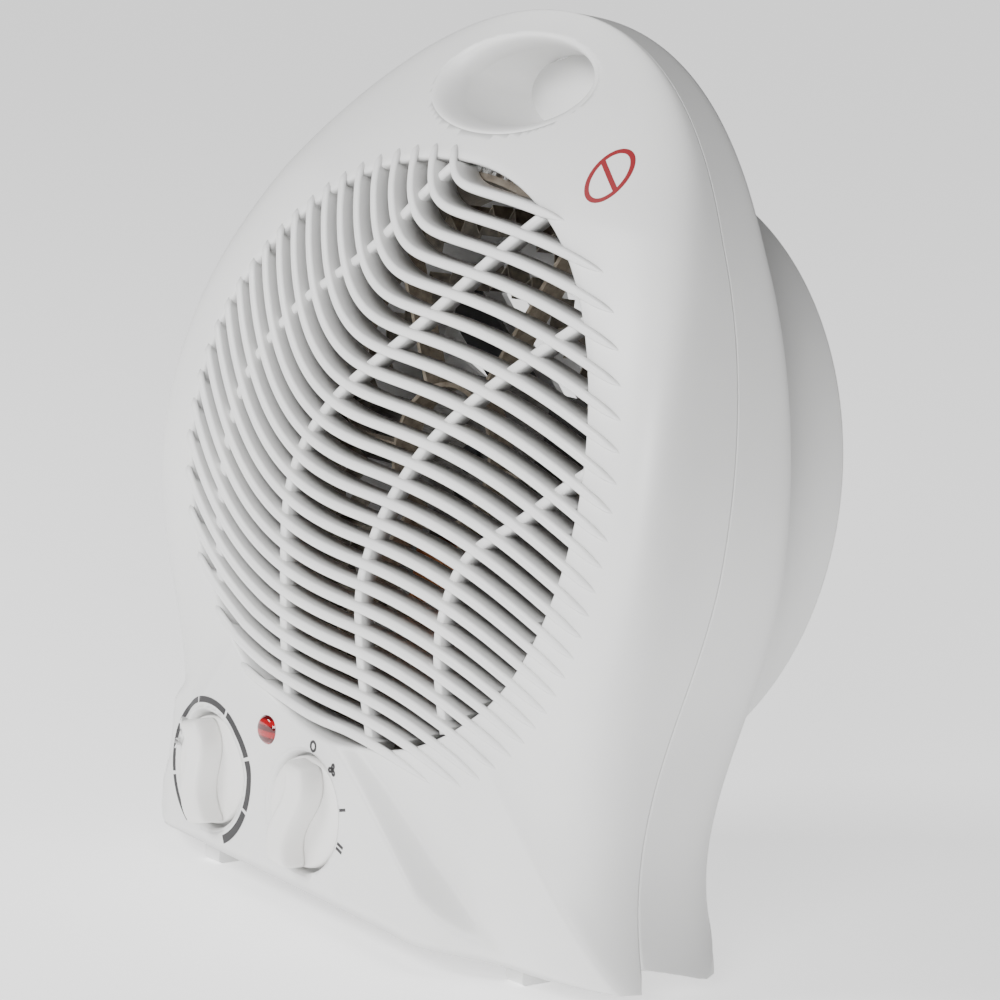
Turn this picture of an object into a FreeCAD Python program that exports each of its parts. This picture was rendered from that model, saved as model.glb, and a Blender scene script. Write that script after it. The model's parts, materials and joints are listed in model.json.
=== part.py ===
import FreeCAD, Part
import math
import os
import Sketcher
from FreeCAD import Placement, Rotation, Vector

# Upright fan convector heater.  Millimetres, +Z up, +X to the viewer's right, front towards -Y.
# The heater stands on z = 0.  The seam between the two casings, the fan axis and everything on it
# lean back together by lean_angle about the line where the seam plane meets the ground.

SIZES = {
    # stance
    "lean_angle": 6.0,
    "origin_setback": 23.5,
    "ground_gap": 5.0,
    # outline of the casing, seen along the fan axis
    "base_half_width": 102.0,
    "waist_half_width": 95.0,
    "waist_height": 42.0,
    "widest_half_width": 107.0,
    "axis_height": 133.0,
    "casing_top": 263.0,
    # depths of the two casings
    "wall": 2.2,
    "front_crown": 36.0,
    "crown_height": 108.0,
    "crown_radius_across": 350.0,
    "crown_radius_upright": 460.0,
    "front_round": 5.0,
    "rear_wall_y": 42.4,
    "rear_round": 7.0,
    "drum_radius": 89.0,
    "drum_depth": 60.5,
    "drum_round": 3.0,
    # handle hole
    "handle_height": 241.0,
    "handle_half_width": 30.0,
    "handle_half_height": 11.0,
    "handle_flare": 5.0,
    "handle_straight": 9.0,
    # front grille
    "grille_radius": 83.0,
    "louvre_count": 25,
    "louvre_width": 2.8,
    "louvre_depth": 9.0,
    "rib_width": 3.4,
    "collar_wall": 2.2,
    "duct_front": -14.0,
    # control pad and dials (upright, not leaning)
    "pad_height": 50.0,
    "pad_reach": 87.0,
    "dial_height": 30.0,
    "thermostat_x": -62.5,
    "thermostat_face_y": -21.0,
    "selector_x": -11.5,
    "selector_face_y": -26.5,
    "recess_radius": 17.8,
    "recess_depth": 6.5,
    "knob_radius": 16.0,
    "thermostat_turn": -15.0,
    "knob_length": 14.0,
    "knob_disc": 6.0,
    "grip_width": 9.0,
    "spindle_radius": 3.0,
    "fit_gap": 0.05,
    "control_body_width": 26.0,
    "control_body_depth": 16.0,
    "lamp_x": -33.5,
    "lamp_height": 49.0,
    "lamp_radius": 4.3,
    "lamp_front_y": -25.9,
    "lamp_length": 12.0,
    # air duct and heating element
    "duct_radius": 80.0,
    "duct_wall": 1.0,
    "duct_back": 22.0,
    "tab_length": 11.0,
    "tab_width": 16.0,
    "tab_thickness": 1.5,
    "mica_thickness": 1.2,
    "mica_front": -10.0,
    "mica_back": -1.5,
    "mica_hub_radius": 21.0,
    "coil_outer_radius": 68.0,
    "coil_inner_radius": 52.5,
    "coil_swing": 4.0,
    "coil_height": 8.0,
    "wire_thickness": 0.6,
    "cutout_radius": 5.5,
    "cutout_clearance": 0.4,
    # motor
    "stator_width": 52.0,
    "stator_top": 22.0,
    "stator_bottom": 38.0,
    "stator_front": 4.0,
    "stator_back": 20.0,
    "rotor_radius": 12.9,
    "air_gap": 0.4,
    "yoke_height": 8.0,
    "winding_width": 28.0,
    "winding_wall": 5.0,
    "plate_thickness": 2.0,
    "plate_height": 14.0,
    "shaft_radius": 2.0,
    "shaft_front": -2.0,
    "motor_screw_x": 20.0,
    "motor_screw_radius": 1.5,
    "strap_height": 20.0,
    "strap_thickness": 1.5,
    # fan
    "fan_front": 34.0,
    "fan_depth": 15.0,
    "fan_radius": 74.0,
    "hub_radius": 13.0,
    "blade_count": 5,
    "blade_chord": 44.0,
    "blade_pitch": 17.0,
    "blade_thickness": 1.4,
    "nut_radius": 4.5,
    "nut_length": 4.0,
    # rear grille
    "inlet_radius": 77.0,
    "inlet_lap": 4.0,
    # screws, feet, small electrical pieces
    "boss_radius": 4.5,
    "screw_radius": 1.5,
    "screw_head_radius": 3.0,
    "low_boss_x": 84.0,
    "low_boss_height": 40.0,
    "high_boss_x": 54.0,
    "high_boss_height": 215.0,
    "boss_seat": 8.0,
    "screw_reach": 10.0,
    "foot_x": 68.0,
    "foot_width": 7.0,
    "foot_length": 12.0,
    "foot_round": 1.5,
    "front_foot_y": -8.0,
    "rear_foot_y": 31.0,
    "gland_x": -58.0,
    "gland_height": 24.0,
    "gland_radius": 6.0,
    "gland_bore": 3.4,
    "gland_flange": 2.0,
    "gland_inside": 7.0,
}

doc = FreeCAD.newDocument("fan_heater")
sheet = doc.addObject("Spreadsheet::Sheet", "Sizes")
for row, (alias, value) in enumerate(SIZES.items(), start=1):
    sheet.set("A%d" % row, alias)
    sheet.set("B%d" % row, str(value))
    sheet.setAlias("B%d" % row, alias)
doc.recompute()

subparts = []


def size(alias):
    """Reads one driving dimension from the sheet."""
    return float(sheet.get(alias))


def value_of(expression):
    """Works out an expression written in sheet names."""
    return float(sheet.evalExpression(sheet_names(expression)))


def sheet_names(expression):
    """Turns bare size names into references to the sheet."""
    words = []
    word = ""
    for letter in str(expression) + " ":
        if letter.isalnum() or letter == "_":
            word += letter
            continue
        words.append("Sizes." + word if word in SIZES else word)
        words.append(letter)
        word = ""
    return "".join(words).strip()


def keep(piece, label):
    """Names an object and adds it to the sub-parts that are written out."""
    piece.Label = label
    subparts.append(piece)
    return piece


# ---------------------------------------------------------------- placing

def place_leaning(piece, x="0", y="0", z="0"):
    """Puts a piece at x, y, z of the leaning frame and leans it back with the frame."""
    piece.Placement = Placement(Vector(), Rotation(Vector(-1, 0, 0), size("lean_angle")))
    cosine = "cos(lean_angle * 1 deg)"
    sine = "sin(lean_angle * 1 deg)"
    set_place(piece, x, "(%s) * %s + (%s) * %s" % (y, cosine, z, sine), "(%s) * %s - (%s) * %s" % (z, cosine, y, sine))
    piece.setExpression("Placement.Rotation.Angle", "Sizes.lean_angle")


def place_upright(piece, x="0", y="0", z="0"):
    """Puts a piece that does not lean at x, y, z above the ground."""
    set_place(piece, x, y, z)


def set_place(piece, x, y, z):
    """Binds a piece's position; every y is measured from the seam's foot and moved by the setback."""
    piece.setExpression("Placement.Base.x", sheet_names(x))
    piece.setExpression("Placement.Base.y", sheet_names("%s - origin_setback" % y))
    piece.setExpression("Placement.Base.z", sheet_names(z))


def on_axis(piece, along="0"):
    """Puts a piece on the fan axis, with its own origin at this distance behind the seam."""
    place_leaning(piece, "0", along, "axis_height")


# ---------------------------------------------------------------- PartDesign helpers

def new_body(name):
    """Starts a PartDesign body."""
    return doc.addObject("PartDesign::Body", name)


def origin_part(body, role):
    """Finds a plane or an axis of a body's own origin."""
    return next(feature for feature in body.Origin.OriginFeatures if feature.Role == role)


def new_sketch(body, role, start="0"):
    """Starts a sketch on an origin plane; start moves it along the plane's normal."""
    sketch = body.newObject("Sketcher::SketchObject", body.Name + "_sketch")
    sketch.AttachmentSupport = [(origin_part(body, role), "")]
    sketch.MapMode = "FlatFace"
    if start != "0":
        sketch.setExpression("AttachmentOffset.Base.z", sheet_names(start))
    return sketch


def pin_point(sketch, geometry, end, x, y):
    """Fixes one point of a sketch at two expressions."""
    for kind, expression, axis in (("DistanceX", x, -2), ("DistanceY", y, -1)):
        if expression == "0":
            sketch.addConstraint(Sketcher.Constraint("PointOnObject", geometry, end, axis))
            continue
        index = sketch.addConstraint(Sketcher.Constraint(kind, -1, 1, geometry, end, value_of(expression)))
        sketch.setExpression("Constraints[%d]" % index, sheet_names(expression))


def draw_polygon(sketch, corners):
    """Draws a closed polygon whose corners are pairs of expressions."""
    points = [Vector(value_of(x), value_of(y), 0) for x, y in corners]
    count = len(points)
    lines = [
        sketch.addGeometry(Part.LineSegment(points[i], points[(i + 1) % count]), False)
        for i in range(count)
    ]
    for i in range(count):
        sketch.addConstraint(Sketcher.Constraint("Coincident", lines[i], 2, lines[(i + 1) % count], 1))
    for line, (x, y) in zip(lines, corners):
        pin_point(sketch, line, 1, x, y)


def draw_rectangle(sketch, left, bottom, right, top):
    """Draws a rectangle between four expressions."""
    draw_polygon(sketch, [(left, bottom), (right, bottom), (right, top), (left, top)])


def draw_circle(sketch, radius, x="0", y="0"):
    """Draws a circle whose radius and centre are expressions."""
    centre = Vector(value_of(x), value_of(y), 0)
    circle = sketch.addGeometry(Part.Circle(centre, Vector(0, 0, 1), value_of(radius)), False)
    index = sketch.addConstraint(Sketcher.Constraint("Radius", circle, value_of(radius)))
    sketch.setExpression("Constraints[%d]" % index, sheet_names(radius))
    pin_point(sketch, circle, 3, x, y)


def pad(body, sketch, length, backwards=True):
    """Pads a sketch; on the XZ plane backwards means towards +Y."""
    feature = body.newObject("PartDesign::Pad", body.Name + "_pad")
    feature.Profile = sketch
    feature.setExpression("Length", sheet_names(length))
    feature.Reversed = backwards
    sketch.Visibility = False
    return feature


def pocket_through(body, sketch):
    """Cuts a sketch right through the body, both ways."""
    feature = body.newObject("PartDesign::Pocket", body.Name + "_pocket")
    feature.Profile = sketch
    feature.Type = "ThroughAll"
    feature.SideType = "Symmetric"
    sketch.Visibility = False
    return feature


def polar(body, features, count):
    """Repeats features round the body's Y axis."""
    pattern = body.newObject("PartDesign::PolarPattern", body.Name + "_pattern")
    pattern.Originals = features
    pattern.Axis = (origin_part(body, "Y_Axis"), [""])
    pattern.Angle = 360
    pattern.setExpression("Occurrences", sheet_names(count))
    body.Tip = pattern
    return pattern


def turned(label, outline):
    """Makes a body turned about its own Y axis from (radius, along) corners."""
    body = new_body(label)
    sketch = new_sketch(body, "XY_Plane")
    draw_polygon(sketch, outline)
    feature = body.newObject("PartDesign::Revolution", label + "_turn")
    feature.Profile = sketch
    feature.ReferenceAxis = (origin_part(body, "Y_Axis"), [""])
    feature.Angle = 360
    sketch.Visibility = False
    return keep(body, label)


def bush(label, inner, outer, length):
    """Makes a plain turned ring, or a rod where the inner radius is 0, from y = 0 to its length."""
    return turned(label, [(inner, "0"), (outer, "0"), (outer, length), (inner, length)])


def group(label, source, moves):
    """Makes one sub-part of separate equal solids: copies of a source body at the given placements."""
    doc.recompute()
    copies = [source.Shape.transformed(move.toMatrix(), True) for move in moves]
    piece = doc.addObject("Part::Feature", label)
    piece.Shape = Part.makeCompound(copies)
    return keep(piece, label)


def freeform(label, shape):
    """Makes a sub-part from a worked-out shape drawn upright round the seam's foot."""
    piece = doc.addObject("Part::Feature", label)
    piece.Shape = shape
    place_upright(piece)
    return keep(piece, label)


# ---------------------------------------------------------------- freeform helpers

def lean(shape):
    """Leans a shape back with the seam plane."""
    moved = shape.copy()
    moved.rotate(Vector(), Vector(-1, 0, 0), size("lean_angle"))
    return moved


def axis_cylinder(radius, front, back):
    """Makes a cylinder on the fan axis, upright."""
    return Part.makeCylinder(radius, back - front, Vector(0, front, size("axis_height")), Vector(0, 1, 0))


def spline(points):
    """Draws a smooth edge through points."""
    curve = Part.BSplineCurve()
    curve.interpolate(Points=points)
    return curve.toShape()


def timed_spline(points, steps, start, end):
    """Draws a smooth edge that passes its points at the given steps, with its slopes at both ends."""
    curve = Part.BSplineCurve()
    curve.interpolate(Points=points, Parameters=steps, InitialTangent=start, FinalTangent=end, Scale=False)
    return curve.toShape()


def outline_prism(inset, front, back):
    """Makes the egg-shaped outline, inset by a wall, as a prism between two depths.

    The flanks are S-curves from the base over the waist to the widest height.  The top is half an ellipse.
    The prism runs below the ground and is cut by the floor later.
    """
    half = size("widest_half_width") - inset
    middle = size("axis_height")
    rise = size("casing_top") - middle - inset
    waist = size("waist_half_width") - inset
    base = size("base_half_width") - inset
    waist_height = size("waist_height")
    heights = [-0.4 * waist_height, 0.1 * waist_height, waist_height, middle]
    widths = [base + 4.0, base, waist, half]
    flank = [Vector(width, 0, height) for width, height in zip(widths, heights)]
    side = timed_spline(flank, heights, Vector(-0.1, 0, 1), Vector(0, 0, 1))
    angles = [math.radians(18 * step) for step in range(6)]
    crown = [Vector(half * math.cos(a), 0, middle + rise * math.sin(a)) for a in angles]
    top = timed_spline(crown, angles, Vector(0, 0, rise), Vector(-half, 0, 0))
    other = [edge.mirror(Vector(), Vector(1, 0, 0)) for edge in (top, side)]
    floor = Part.makeLine(Vector(-widths[0], 0, heights[0]), flank[0])
    face = Part.Face(Part.Wire([side, top] + other + [floor]))
    face.translate(Vector(0, front, 0))
    return face.extrude(Vector(0, back - front, 0))


def crown_solid(inset):
    """Makes the domed solid whose front is the casing's face: an upright arc turned about an upright axis."""
    across = size("crown_radius_across") - inset
    upright = size("crown_radius_upright") - inset
    crest = -size("front_crown") + inset
    height = size("crown_height")
    reach = 0.42 * upright

    def on_arc(z):
        return Vector(0, crest + upright - math.sqrt(upright**2 - (z - height) ** 2), z)

    bottom, top = on_arc(height - reach), on_arc(height + reach)
    arc = Part.Arc(bottom, on_arc(height), top).toShape()
    axis_y = crest + across
    corners = [top, Vector(0, axis_y, top.z), Vector(0, axis_y, bottom.z), bottom]
    lines = [Part.makeLine(a, b) for a, b in zip(corners, corners[1:])]
    face = Part.Face(Part.Wire([arc] + lines))
    return face.revolve(Vector(0, axis_y, 0), Vector(0, 0, 1), 360)


def above_floor(gap):
    """Makes a large block of everything higher than gap above the ground."""
    reach = 4 * size("casing_top")
    return Part.makeBox(reach, reach, reach, Vector(-reach / 2, -reach / 2, gap))


def before_rear_wall(inset):
    """Makes a large block of everything in front of the upright rear wall."""
    reach = 4 * size("casing_top")
    return Part.makeBox(reach, reach, reach, Vector(-reach / 2, size("rear_wall_y") - inset - reach, -reach / 2))


def handle_core(inset):
    """Makes the oval handle passage: straight about the seam and flaring towards both faces."""
    flare = size("handle_flare")
    straight = size("handle_straight")
    far = 2.2 * size("front_crown")
    steps = [(-far, 3.0 * flare), (-straight, 0.0), (0.7 * straight, 0.0), (far, 3.0 * flare)]
    rings = []
    for y, grow in steps:
        wide = size("handle_half_width") - inset + grow
        high = size("handle_half_height") - inset + grow
        ellipse = Part.Ellipse(Vector(wide, y, 0), Vector(0, y, high), Vector(0, y, 0))
        rings.append(Part.Wire(ellipse.toShape()))
    core = Part.makeLoft(rings, True, True)
    core.translate(Vector(0, 0, size("handle_height")))
    return core


def boss_spots():
    """Lists the four casing screw positions as (x, z) of the leaning frame."""
    low = (size("low_boss_x"), size("low_boss_height"))
    high = (size("high_boss_x"), size("high_boss_height"))
    return [(side * x, z) for x, z in (low, high) for side in (-1, 1)]


def rod(radius, x, z, front, back):
    """Makes a rod along Y between two depths."""
    return Part.makeCylinder(radius, back - front, Vector(x, front, z), Vector(0, 1, 0))


def dial_spots():
    """Lists the two dials as (x, y of the panel face)."""
    return [
        (size("thermostat_x"), size("thermostat_face_y")),
        (size("selector_x"), size("selector_face_y")),
    ]


# ---------------------------------------------------------------- casings

def control_pad():
    """Makes the raised control pad: a slab inside a rising and falling swoosh, cut back at its left end."""
    base = size("base_half_width")
    high = size("pad_height")
    edge = [
        Vector(-1.2 * base, 0, 0.78 * high),
        Vector(-0.58 * base, 0, 1.12 * high),
        Vector(-0.1 * base, 0, 1.06 * high),
        Vector(0.24 * base, 0, 0.6 * high),
        Vector(0.72 * base, 0, 0),
        Vector(0.9 * base, 0, -0.4 * high),
    ]
    lines = [Part.makeLine(edge[-1], Vector(-1.2 * base, 0, -0.4 * high))]
    lines.append(Part.makeLine(lines[0].Vertexes[1].Point, edge[0]))
    face = Part.Face(Part.Wire([spline(edge)] + lines))
    swoosh = face.extrude(Vector(0, -2 * size("front_crown"), 0))
    (left_x, left_y), (right_x, right_y) = dial_spots()
    slope = (right_y - left_y) / (right_x - left_x)

    def on_panel(x):
        return Vector(x, left_y + slope * (x - left_x), 0)

    start, end = on_panel(-size("pad_reach")), on_panel(right_x)
    beyond = Vector(base, right_y + 0.35 * (base - right_x), 0)
    back = [Vector(base, size("rear_wall_y"), 0), Vector(-1.2 * base, size("rear_wall_y"), 0)]
    back.append(Vector(-1.2 * base, 0, 0))
    plan = Part.Face(Part.makePolygon([start, end, beyond] + back + [start]))
    slab = plan.extrude(Vector(0, 0, 1.6 * high))
    return swoosh.common(slab)


def front_shell():
    """Makes the front casing, upright."""
    wall = size("wall")
    deep = -2 * size("front_crown")
    prism = outline_prism(0, deep, 0)
    dome = prism.common(crown_solid(0))
    rim = [edge for edge in dome.Edges if edge.CenterOfMass.y < -1 and abs(edge.BoundBox.XLength) > 5]
    rim = [edge for edge in rim if edge.CenterOfMass.z > size("ground_gap")]
    dome = dome.makeFillet(size("front_round"), rim)
    outer = lean(dome)
    pad_solid = control_pad().common(lean(prism))
    outer = outer.fuse(pad_solid).common(above_floor(size("ground_gap")))
    hollow = lean(outline_prism(wall, deep, 1).common(crown_solid(wall)))
    shell = outer.cut(hollow.common(above_floor(size("ground_gap") + wall)))
    collar = axis_cylinder(size("grille_radius") + size("collar_wall"), deep, size("duct_front"))
    tube = handle_core(-wall).common(outline_prism(0, deep, 0))
    shell = shell.fuse([lean(collar).common(outer), lean(tube).common(outer)])
    for x, z in boss_spots():
        shell = shell.fuse(lean(rod(size("boss_radius"), x, z, deep, 0)).common(outer))
    for x, y in dial_spots():
        floor_y = y + size("recess_depth") + wall
        shell = shell.fuse(rod(size("recess_radius") + wall, x, size("dial_height"), deep, floor_y).common(outer))
        shell = shell.cut(rod(size("recess_radius"), x, size("dial_height"), deep, y + size("recess_depth")))
        shell = shell.cut(rod(size("spindle_radius") + 1.0, x, size("dial_height"), deep, floor_y + 1))
    lamp_hole = rod(size("lamp_radius") * 0.8, size("lamp_x"), size("lamp_height"), deep, 0)
    openings = [lean(axis_cylinder(size("grille_radius"), deep, 1)), lean(handle_core(0)), lamp_hole]
    for x, z in boss_spots():
        openings.append(lean(rod(size("screw_radius"), x, z, -size("screw_reach"), 1)))
    return shell.cut(openings)


def rear_shell():
    """Makes the rear casing, upright."""
    wall = size("wall")
    depth = size("drum_depth")
    prism = lean(outline_prism(0, 0, 3 * depth)).common(before_rear_wall(0))
    rim = [edge for edge in prism.Edges if edge.BoundBox.YLength < 0.1 and edge.CenterOfMass.z > size("ground_gap")]
    outer = prism.makeFillet(size("rear_round"), rim)
    drum = axis_cylinder(size("drum_radius"), 0, depth)
    drum = drum.makeFillet(size("drum_round"), [e for e in drum.Edges if e.CenterOfMass.y > depth - 1 and e.Closed])
    outer = outer.fuse(lean(drum)).common(above_floor(size("ground_gap")))
    hollow = lean(outline_prism(wall, -1, 3 * depth)).common(before_rear_wall(wall))
    hollow = hollow.fuse(lean(axis_cylinder(size("drum_radius") - wall, -1, depth - wall)))
    shell = outer.cut(hollow.common(above_floor(size("ground_gap") + wall)))
    tube = handle_core(-wall).common(outline_prism(0, 0, 3 * depth))
    shell = shell.fuse(lean(tube).common(outer))
    for x, z in boss_spots():
        shell = shell.fuse(lean(rod(size("boss_radius"), x, z, 0, 3 * depth)).common(outer))
    openings = [lean(axis_cylinder(size("inlet_radius"), depth / 2, 2 * depth)), lean(handle_core(0))]
    openings.append(rod(size("gland_radius"), size("gland_x"), size("gland_height"), depth / 4, 2 * depth))
    for x, z in boss_spots():
        openings.append(lean(rod(size("screw_radius"), x, z, -1, size("boss_seat"))))
        openings.append(lean(rod(size("screw_head_radius"), x, z, size("boss_seat"), 3 * depth)))
    return shell.cut(openings)


# ---------------------------------------------------------------- front grille

def louvre_height(x, index):
    """Gives the height of a louvre's centre line.

    Each louvre is level near the middle, droops as a parabola to the right and bends up to the left
    into a straight steep run.  The bend moves left, and grows softer, from louvre to louvre.
    """
    level = 209.2 - 7.28 * index + 0.031 * index**2
    bend = -1.9 - 4.93 * index + 0.0727 * index**2
    steepness = 2.345 - 0.0153 * index - 0.0005 * index**2
    softness = 3.92 + 0.863 * index
    droop = (0.00158 + 0.00007 * index) * max(x + 1.9, 0.0) ** 2
    turn = softness * math.log1p(math.exp((bend - x) / softness))
    scale = size("grille_radius") / 83.0
    return size("axis_height") + scale * (level - droop + steepness * turn - 133.0)


def strip(points, width):
    """Makes a flat strip of even width along a smooth line in the XZ plane."""
    count = len(points)
    left, right = [], []
    for i, point in enumerate(points):
        ahead = points[min(i + 1, count - 1)] - points[max(i - 1, 0)]
        side = Vector(-ahead.z, 0, ahead.x).normalize() * (width / 2)
        left.append(point + side)
        right.append(point - side)
    ends = [Part.makeLine(left[-1], right[-1]), Part.makeLine(right[0], left[0])]
    return Part.Face(Part.Wire([spline(left), ends[0], spline(right[::-1]), ends[1]]))


def louvre_strip(index):
    """Makes one louvre as a flat strip that runs past the opening at both ends."""
    scale = size("grille_radius") / 83.0
    spots = [-100, -80, -64, -50, -38, -26, -14, -4, 8, 30, 60, 100]
    points = [Vector(scale * x, 0, louvre_height(x, index)) for x in spots]
    limit = size("axis_height") + 1.25 * size("grille_radius")
    points = [point for point in points if point.z < limit]
    return strip(points, size("louvre_width"))


def cross_ribs():
    """Makes the four cross ribs: each comes down from the upper right and bends upright."""
    lines = [
        [(10, 97), (-3, 82), (-22, 56), (-48, 34), (-64, 10), (-67, -19), (-62, -60)],
        [(58, 90), (39, 72), (7, 38), (-24, 10), (-36, -15), (-32, -50), (-24, -90)],
        [(92, 68), (67, 46), (30, 16), (11, -7), (1, -33), (3, -55), (14, -92)],
        [(102, 22), (81, 7), (62, -8), (43, -22), (36, -39), (37, -56), (46, -85)],
    ]
    scale = size("grille_radius") / 83.0
    middle = size("axis_height")
    return [
        strip([Vector(scale * x, 0, middle + scale * z) for x, z in line], size("rib_width"))
        for line in lines
    ]


def front_louvres():
    """Makes the grille: louvres and ribs joined as one flat pattern, given the depth and dome of the face."""
    strips = [louvre_strip(i) for i in range(int(size("louvre_count")))] + cross_ribs()
    deep = -2 * size("front_crown")
    rim = Part.makeCircle(size("grille_radius"), Vector(0, 0, size("axis_height")), Vector(0, 1, 0))
    pattern = strips[0].fuse(strips[1:]).common(Part.Face(Part.Wire(rim)))
    pattern = pattern.removeSplitter().extrude(Vector(0, deep, 0))
    layer = axis_cylinder(size("grille_radius") + 1, deep, 0).common(crown_solid(0))
    layer = layer.cut(crown_solid(size("louvre_depth")))
    return lean(pattern.common(layer))


freeform("front_casing", front_shell())
freeform("rear_casing", rear_shell())
freeform("front_grille", front_louvres())


# ---------------------------------------------------------------- rear inlet grille

def rear_grille():
    """Makes the slotted disc that lies against the inside of the drum's end wall."""
    body = new_body("rear_grille")
    disc = new_sketch(body, "XZ_Plane")
    draw_circle(disc, "inlet_radius + inlet_lap")
    pad(body, disc, "wall")
    inner = new_sketch(body, "XZ_Plane")
    draw_rectangle(inner, "inlet_radius * 0.2", "-2.5", "inlet_radius * 0.52", "2.5")
    inner_slot = pocket_through(body, inner)
    outer = new_sketch(body, "XZ_Plane")
    draw_rectangle(outer, "inlet_radius * 0.58", "-3.5", "inlet_radius * 0.95", "3.5")
    outer_slot = pocket_through(body, outer)
    polar(body, [inner_slot, outer_slot], "18")
    on_axis(keep(body, "rear_grille"), "drum_depth - 2 * wall")


rear_grille()


# ---------------------------------------------------------------- feet

def foot_group(label, y):
    """Makes a pair of block feet under the casing, left and right."""
    body = new_body(label + "_block")
    sketch = new_sketch(body, "XY_Plane")
    draw_rectangle(sketch, "-foot_width / 2", "-foot_length / 2", "foot_width / 2", "foot_length / 2")
    block = pad(body, sketch, "ground_gap", backwards=False)
    doc.recompute()
    low = [
        "Edge%d" % number
        for number, edge in enumerate(block.Shape.Edges, start=1)
        if edge.CenterOfMass.z < 0.01 and edge.BoundBox.XLength > edge.BoundBox.YLength
    ]
    rounding = body.newObject("PartDesign::Fillet", label + "_round")
    rounding.Base = (block, low)
    rounding.setExpression("Radius", sheet_names("foot_round"))
    body.Tip = rounding
    moves = [Placement(Vector(side * size("foot_x"), 0, 0), Rotation()) for side in (-1, 1)]
    place_upright(group(label, body, moves), "0", y, "0")


foot_group("front_feet", "front_foot_y")
foot_group("rear_feet", "rear_foot_y")


# ---------------------------------------------------------------- dials

def knob(label, x, face_y, turn="0"):
    """Makes a dial knob: a disc with a socket and a straight grip across it.  Its own y = 0 is its back."""
    body = new_body(label)
    sketch = new_sketch(body, "XY_Plane")
    draw_polygon(sketch, [
        ("spindle_radius", "0"),
        ("knob_radius", "0"),
        ("knob_radius", "-knob_disc"),
        ("spindle_radius", "-knob_disc"),
    ])
    disc = body.newObject("PartDesign::Revolution", label + "_disc")
    disc.Profile = sketch
    disc.ReferenceAxis = (origin_part(body, "Y_Axis"), [""])
    disc.Angle = 360
    bar = new_sketch(body, "XZ_Plane", "knob_disc")
    reach = "sqrt(knob_radius ^ 2 - grip_width ^ 2 / 4)"
    draw_rectangle(bar, "-grip_width / 2", "-" + reach, "grip_width / 2", reach)
    grip = pad(body, bar, "knob_length - knob_disc", backwards=False)
    doc.recompute()
    front = -size("knob_length")
    top = [
        "Edge%d" % number
        for number, edge in enumerate(grip.Shape.Edges, start=1)
        if abs(edge.CenterOfMass.y - front) < 0.01
    ]
    rounding = body.newObject("PartDesign::Fillet", label + "_round")
    rounding.Base = (grip, top)
    rounding.Radius = 1.2
    body.Tip = rounding
    body.Placement = Placement(Vector(), Rotation(Vector(0, 1, 0), value_of(turn)))
    body.setExpression("Placement.Rotation.Angle", sheet_names(turn))
    place_upright(keep(body, label), x, "%s + recess_depth - 0.5" % face_y, "dial_height")


def control(name, x, face_y):
    """Makes one control behind the panel: its housing, and the spindle that its knob sits on."""
    floor_y = "%s + recess_depth + wall" % face_y
    body = new_body(name + "_body")
    sketch = new_sketch(body, "XZ_Plane")
    half = "control_body_width / 2"
    draw_rectangle(sketch, "-" + half, "-" + half, half, half)
    pad(body, sketch, "control_body_depth")
    hole = new_sketch(body, "XZ_Plane")
    draw_circle(hole, "spindle_radius + fit_gap")
    pocket_through(body, hole)
    place_upright(keep(body, name + "_body"), x, floor_y, "dial_height")
    spindle = bush(name + "_spindle", "0", "spindle_radius", "knob_disc + wall + control_body_depth")
    place_upright(spindle, x, "%s + recess_depth - 0.5 - knob_disc" % face_y, "dial_height")


knob("thermostat_knob", "thermostat_x", "thermostat_face_y", "thermostat_turn")
knob("selector_knob", "selector_x", "selector_face_y")
control("thermostat", "thermostat_x", "thermostat_face_y")
control("selector", "selector_x", "selector_face_y")


# ---------------------------------------------------------------- neon lamp

def neon_lamp():
    """Makes the lamp lens, a low dome on a stem through the panel, and the glass tube behind it."""
    stem = "lamp_radius * 0.8"
    lens = turned("lamp_lens", [
        ("0", "-1.6"),
        ("lamp_radius * 0.6", "-1.2"),
        ("lamp_radius", "0"),
        (stem, "0"),
        (stem, "lamp_length / 2"),
        ("0", "lamp_length / 2"),
    ])
    place_upright(lens, "lamp_x", "lamp_front_y", "lamp_height")
    tube = bush("lamp_tube", "0", "lamp_radius * 0.55", "lamp_length")
    place_upright(tube, "lamp_x", "lamp_front_y + lamp_length / 2", "lamp_height")


neon_lamp()


# ---------------------------------------------------------------- air duct and heating element

def air_duct():
    """Makes the sheet ring round the element, with a front flange and two tabs for the motor strap."""
    body = new_body("air_duct")
    sketch = new_sketch(body, "XY_Plane")
    inner = "duct_radius - duct_wall"
    flange = "grille_radius + collar_wall"
    draw_polygon(sketch, [
        (inner, "duct_front"),
        (flange, "duct_front"),
        (flange, "duct_front + duct_wall"),
        ("duct_radius", "duct_front + duct_wall"),
        ("duct_radius", "duct_back"),
        (inner, "duct_back"),
    ])
    ring = body.newObject("PartDesign::Revolution", "air_duct_turn")
    ring.Profile = sketch
    ring.ReferenceAxis = (origin_part(body, "Y_Axis"), [""])
    ring.Angle = 360
    tab = new_sketch(body, "XZ_Plane", "-duct_back + tab_thickness")
    far = "duct_radius + tab_length"
    draw_rectangle(tab, "duct_radius - duct_wall / 2", "-tab_width / 2", far, "tab_width / 2")
    tab_pad = pad(body, tab, "tab_thickness")
    hole = new_sketch(body, "XZ_Plane", "-duct_back + tab_thickness")
    draw_circle(hole, "screw_radius", "duct_radius + tab_length / 2")
    hole_cut = pocket_through(body, hole)
    polar(body, [tab_pad, hole_cut], "2")
    on_axis(keep(body, "air_duct"))


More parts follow.
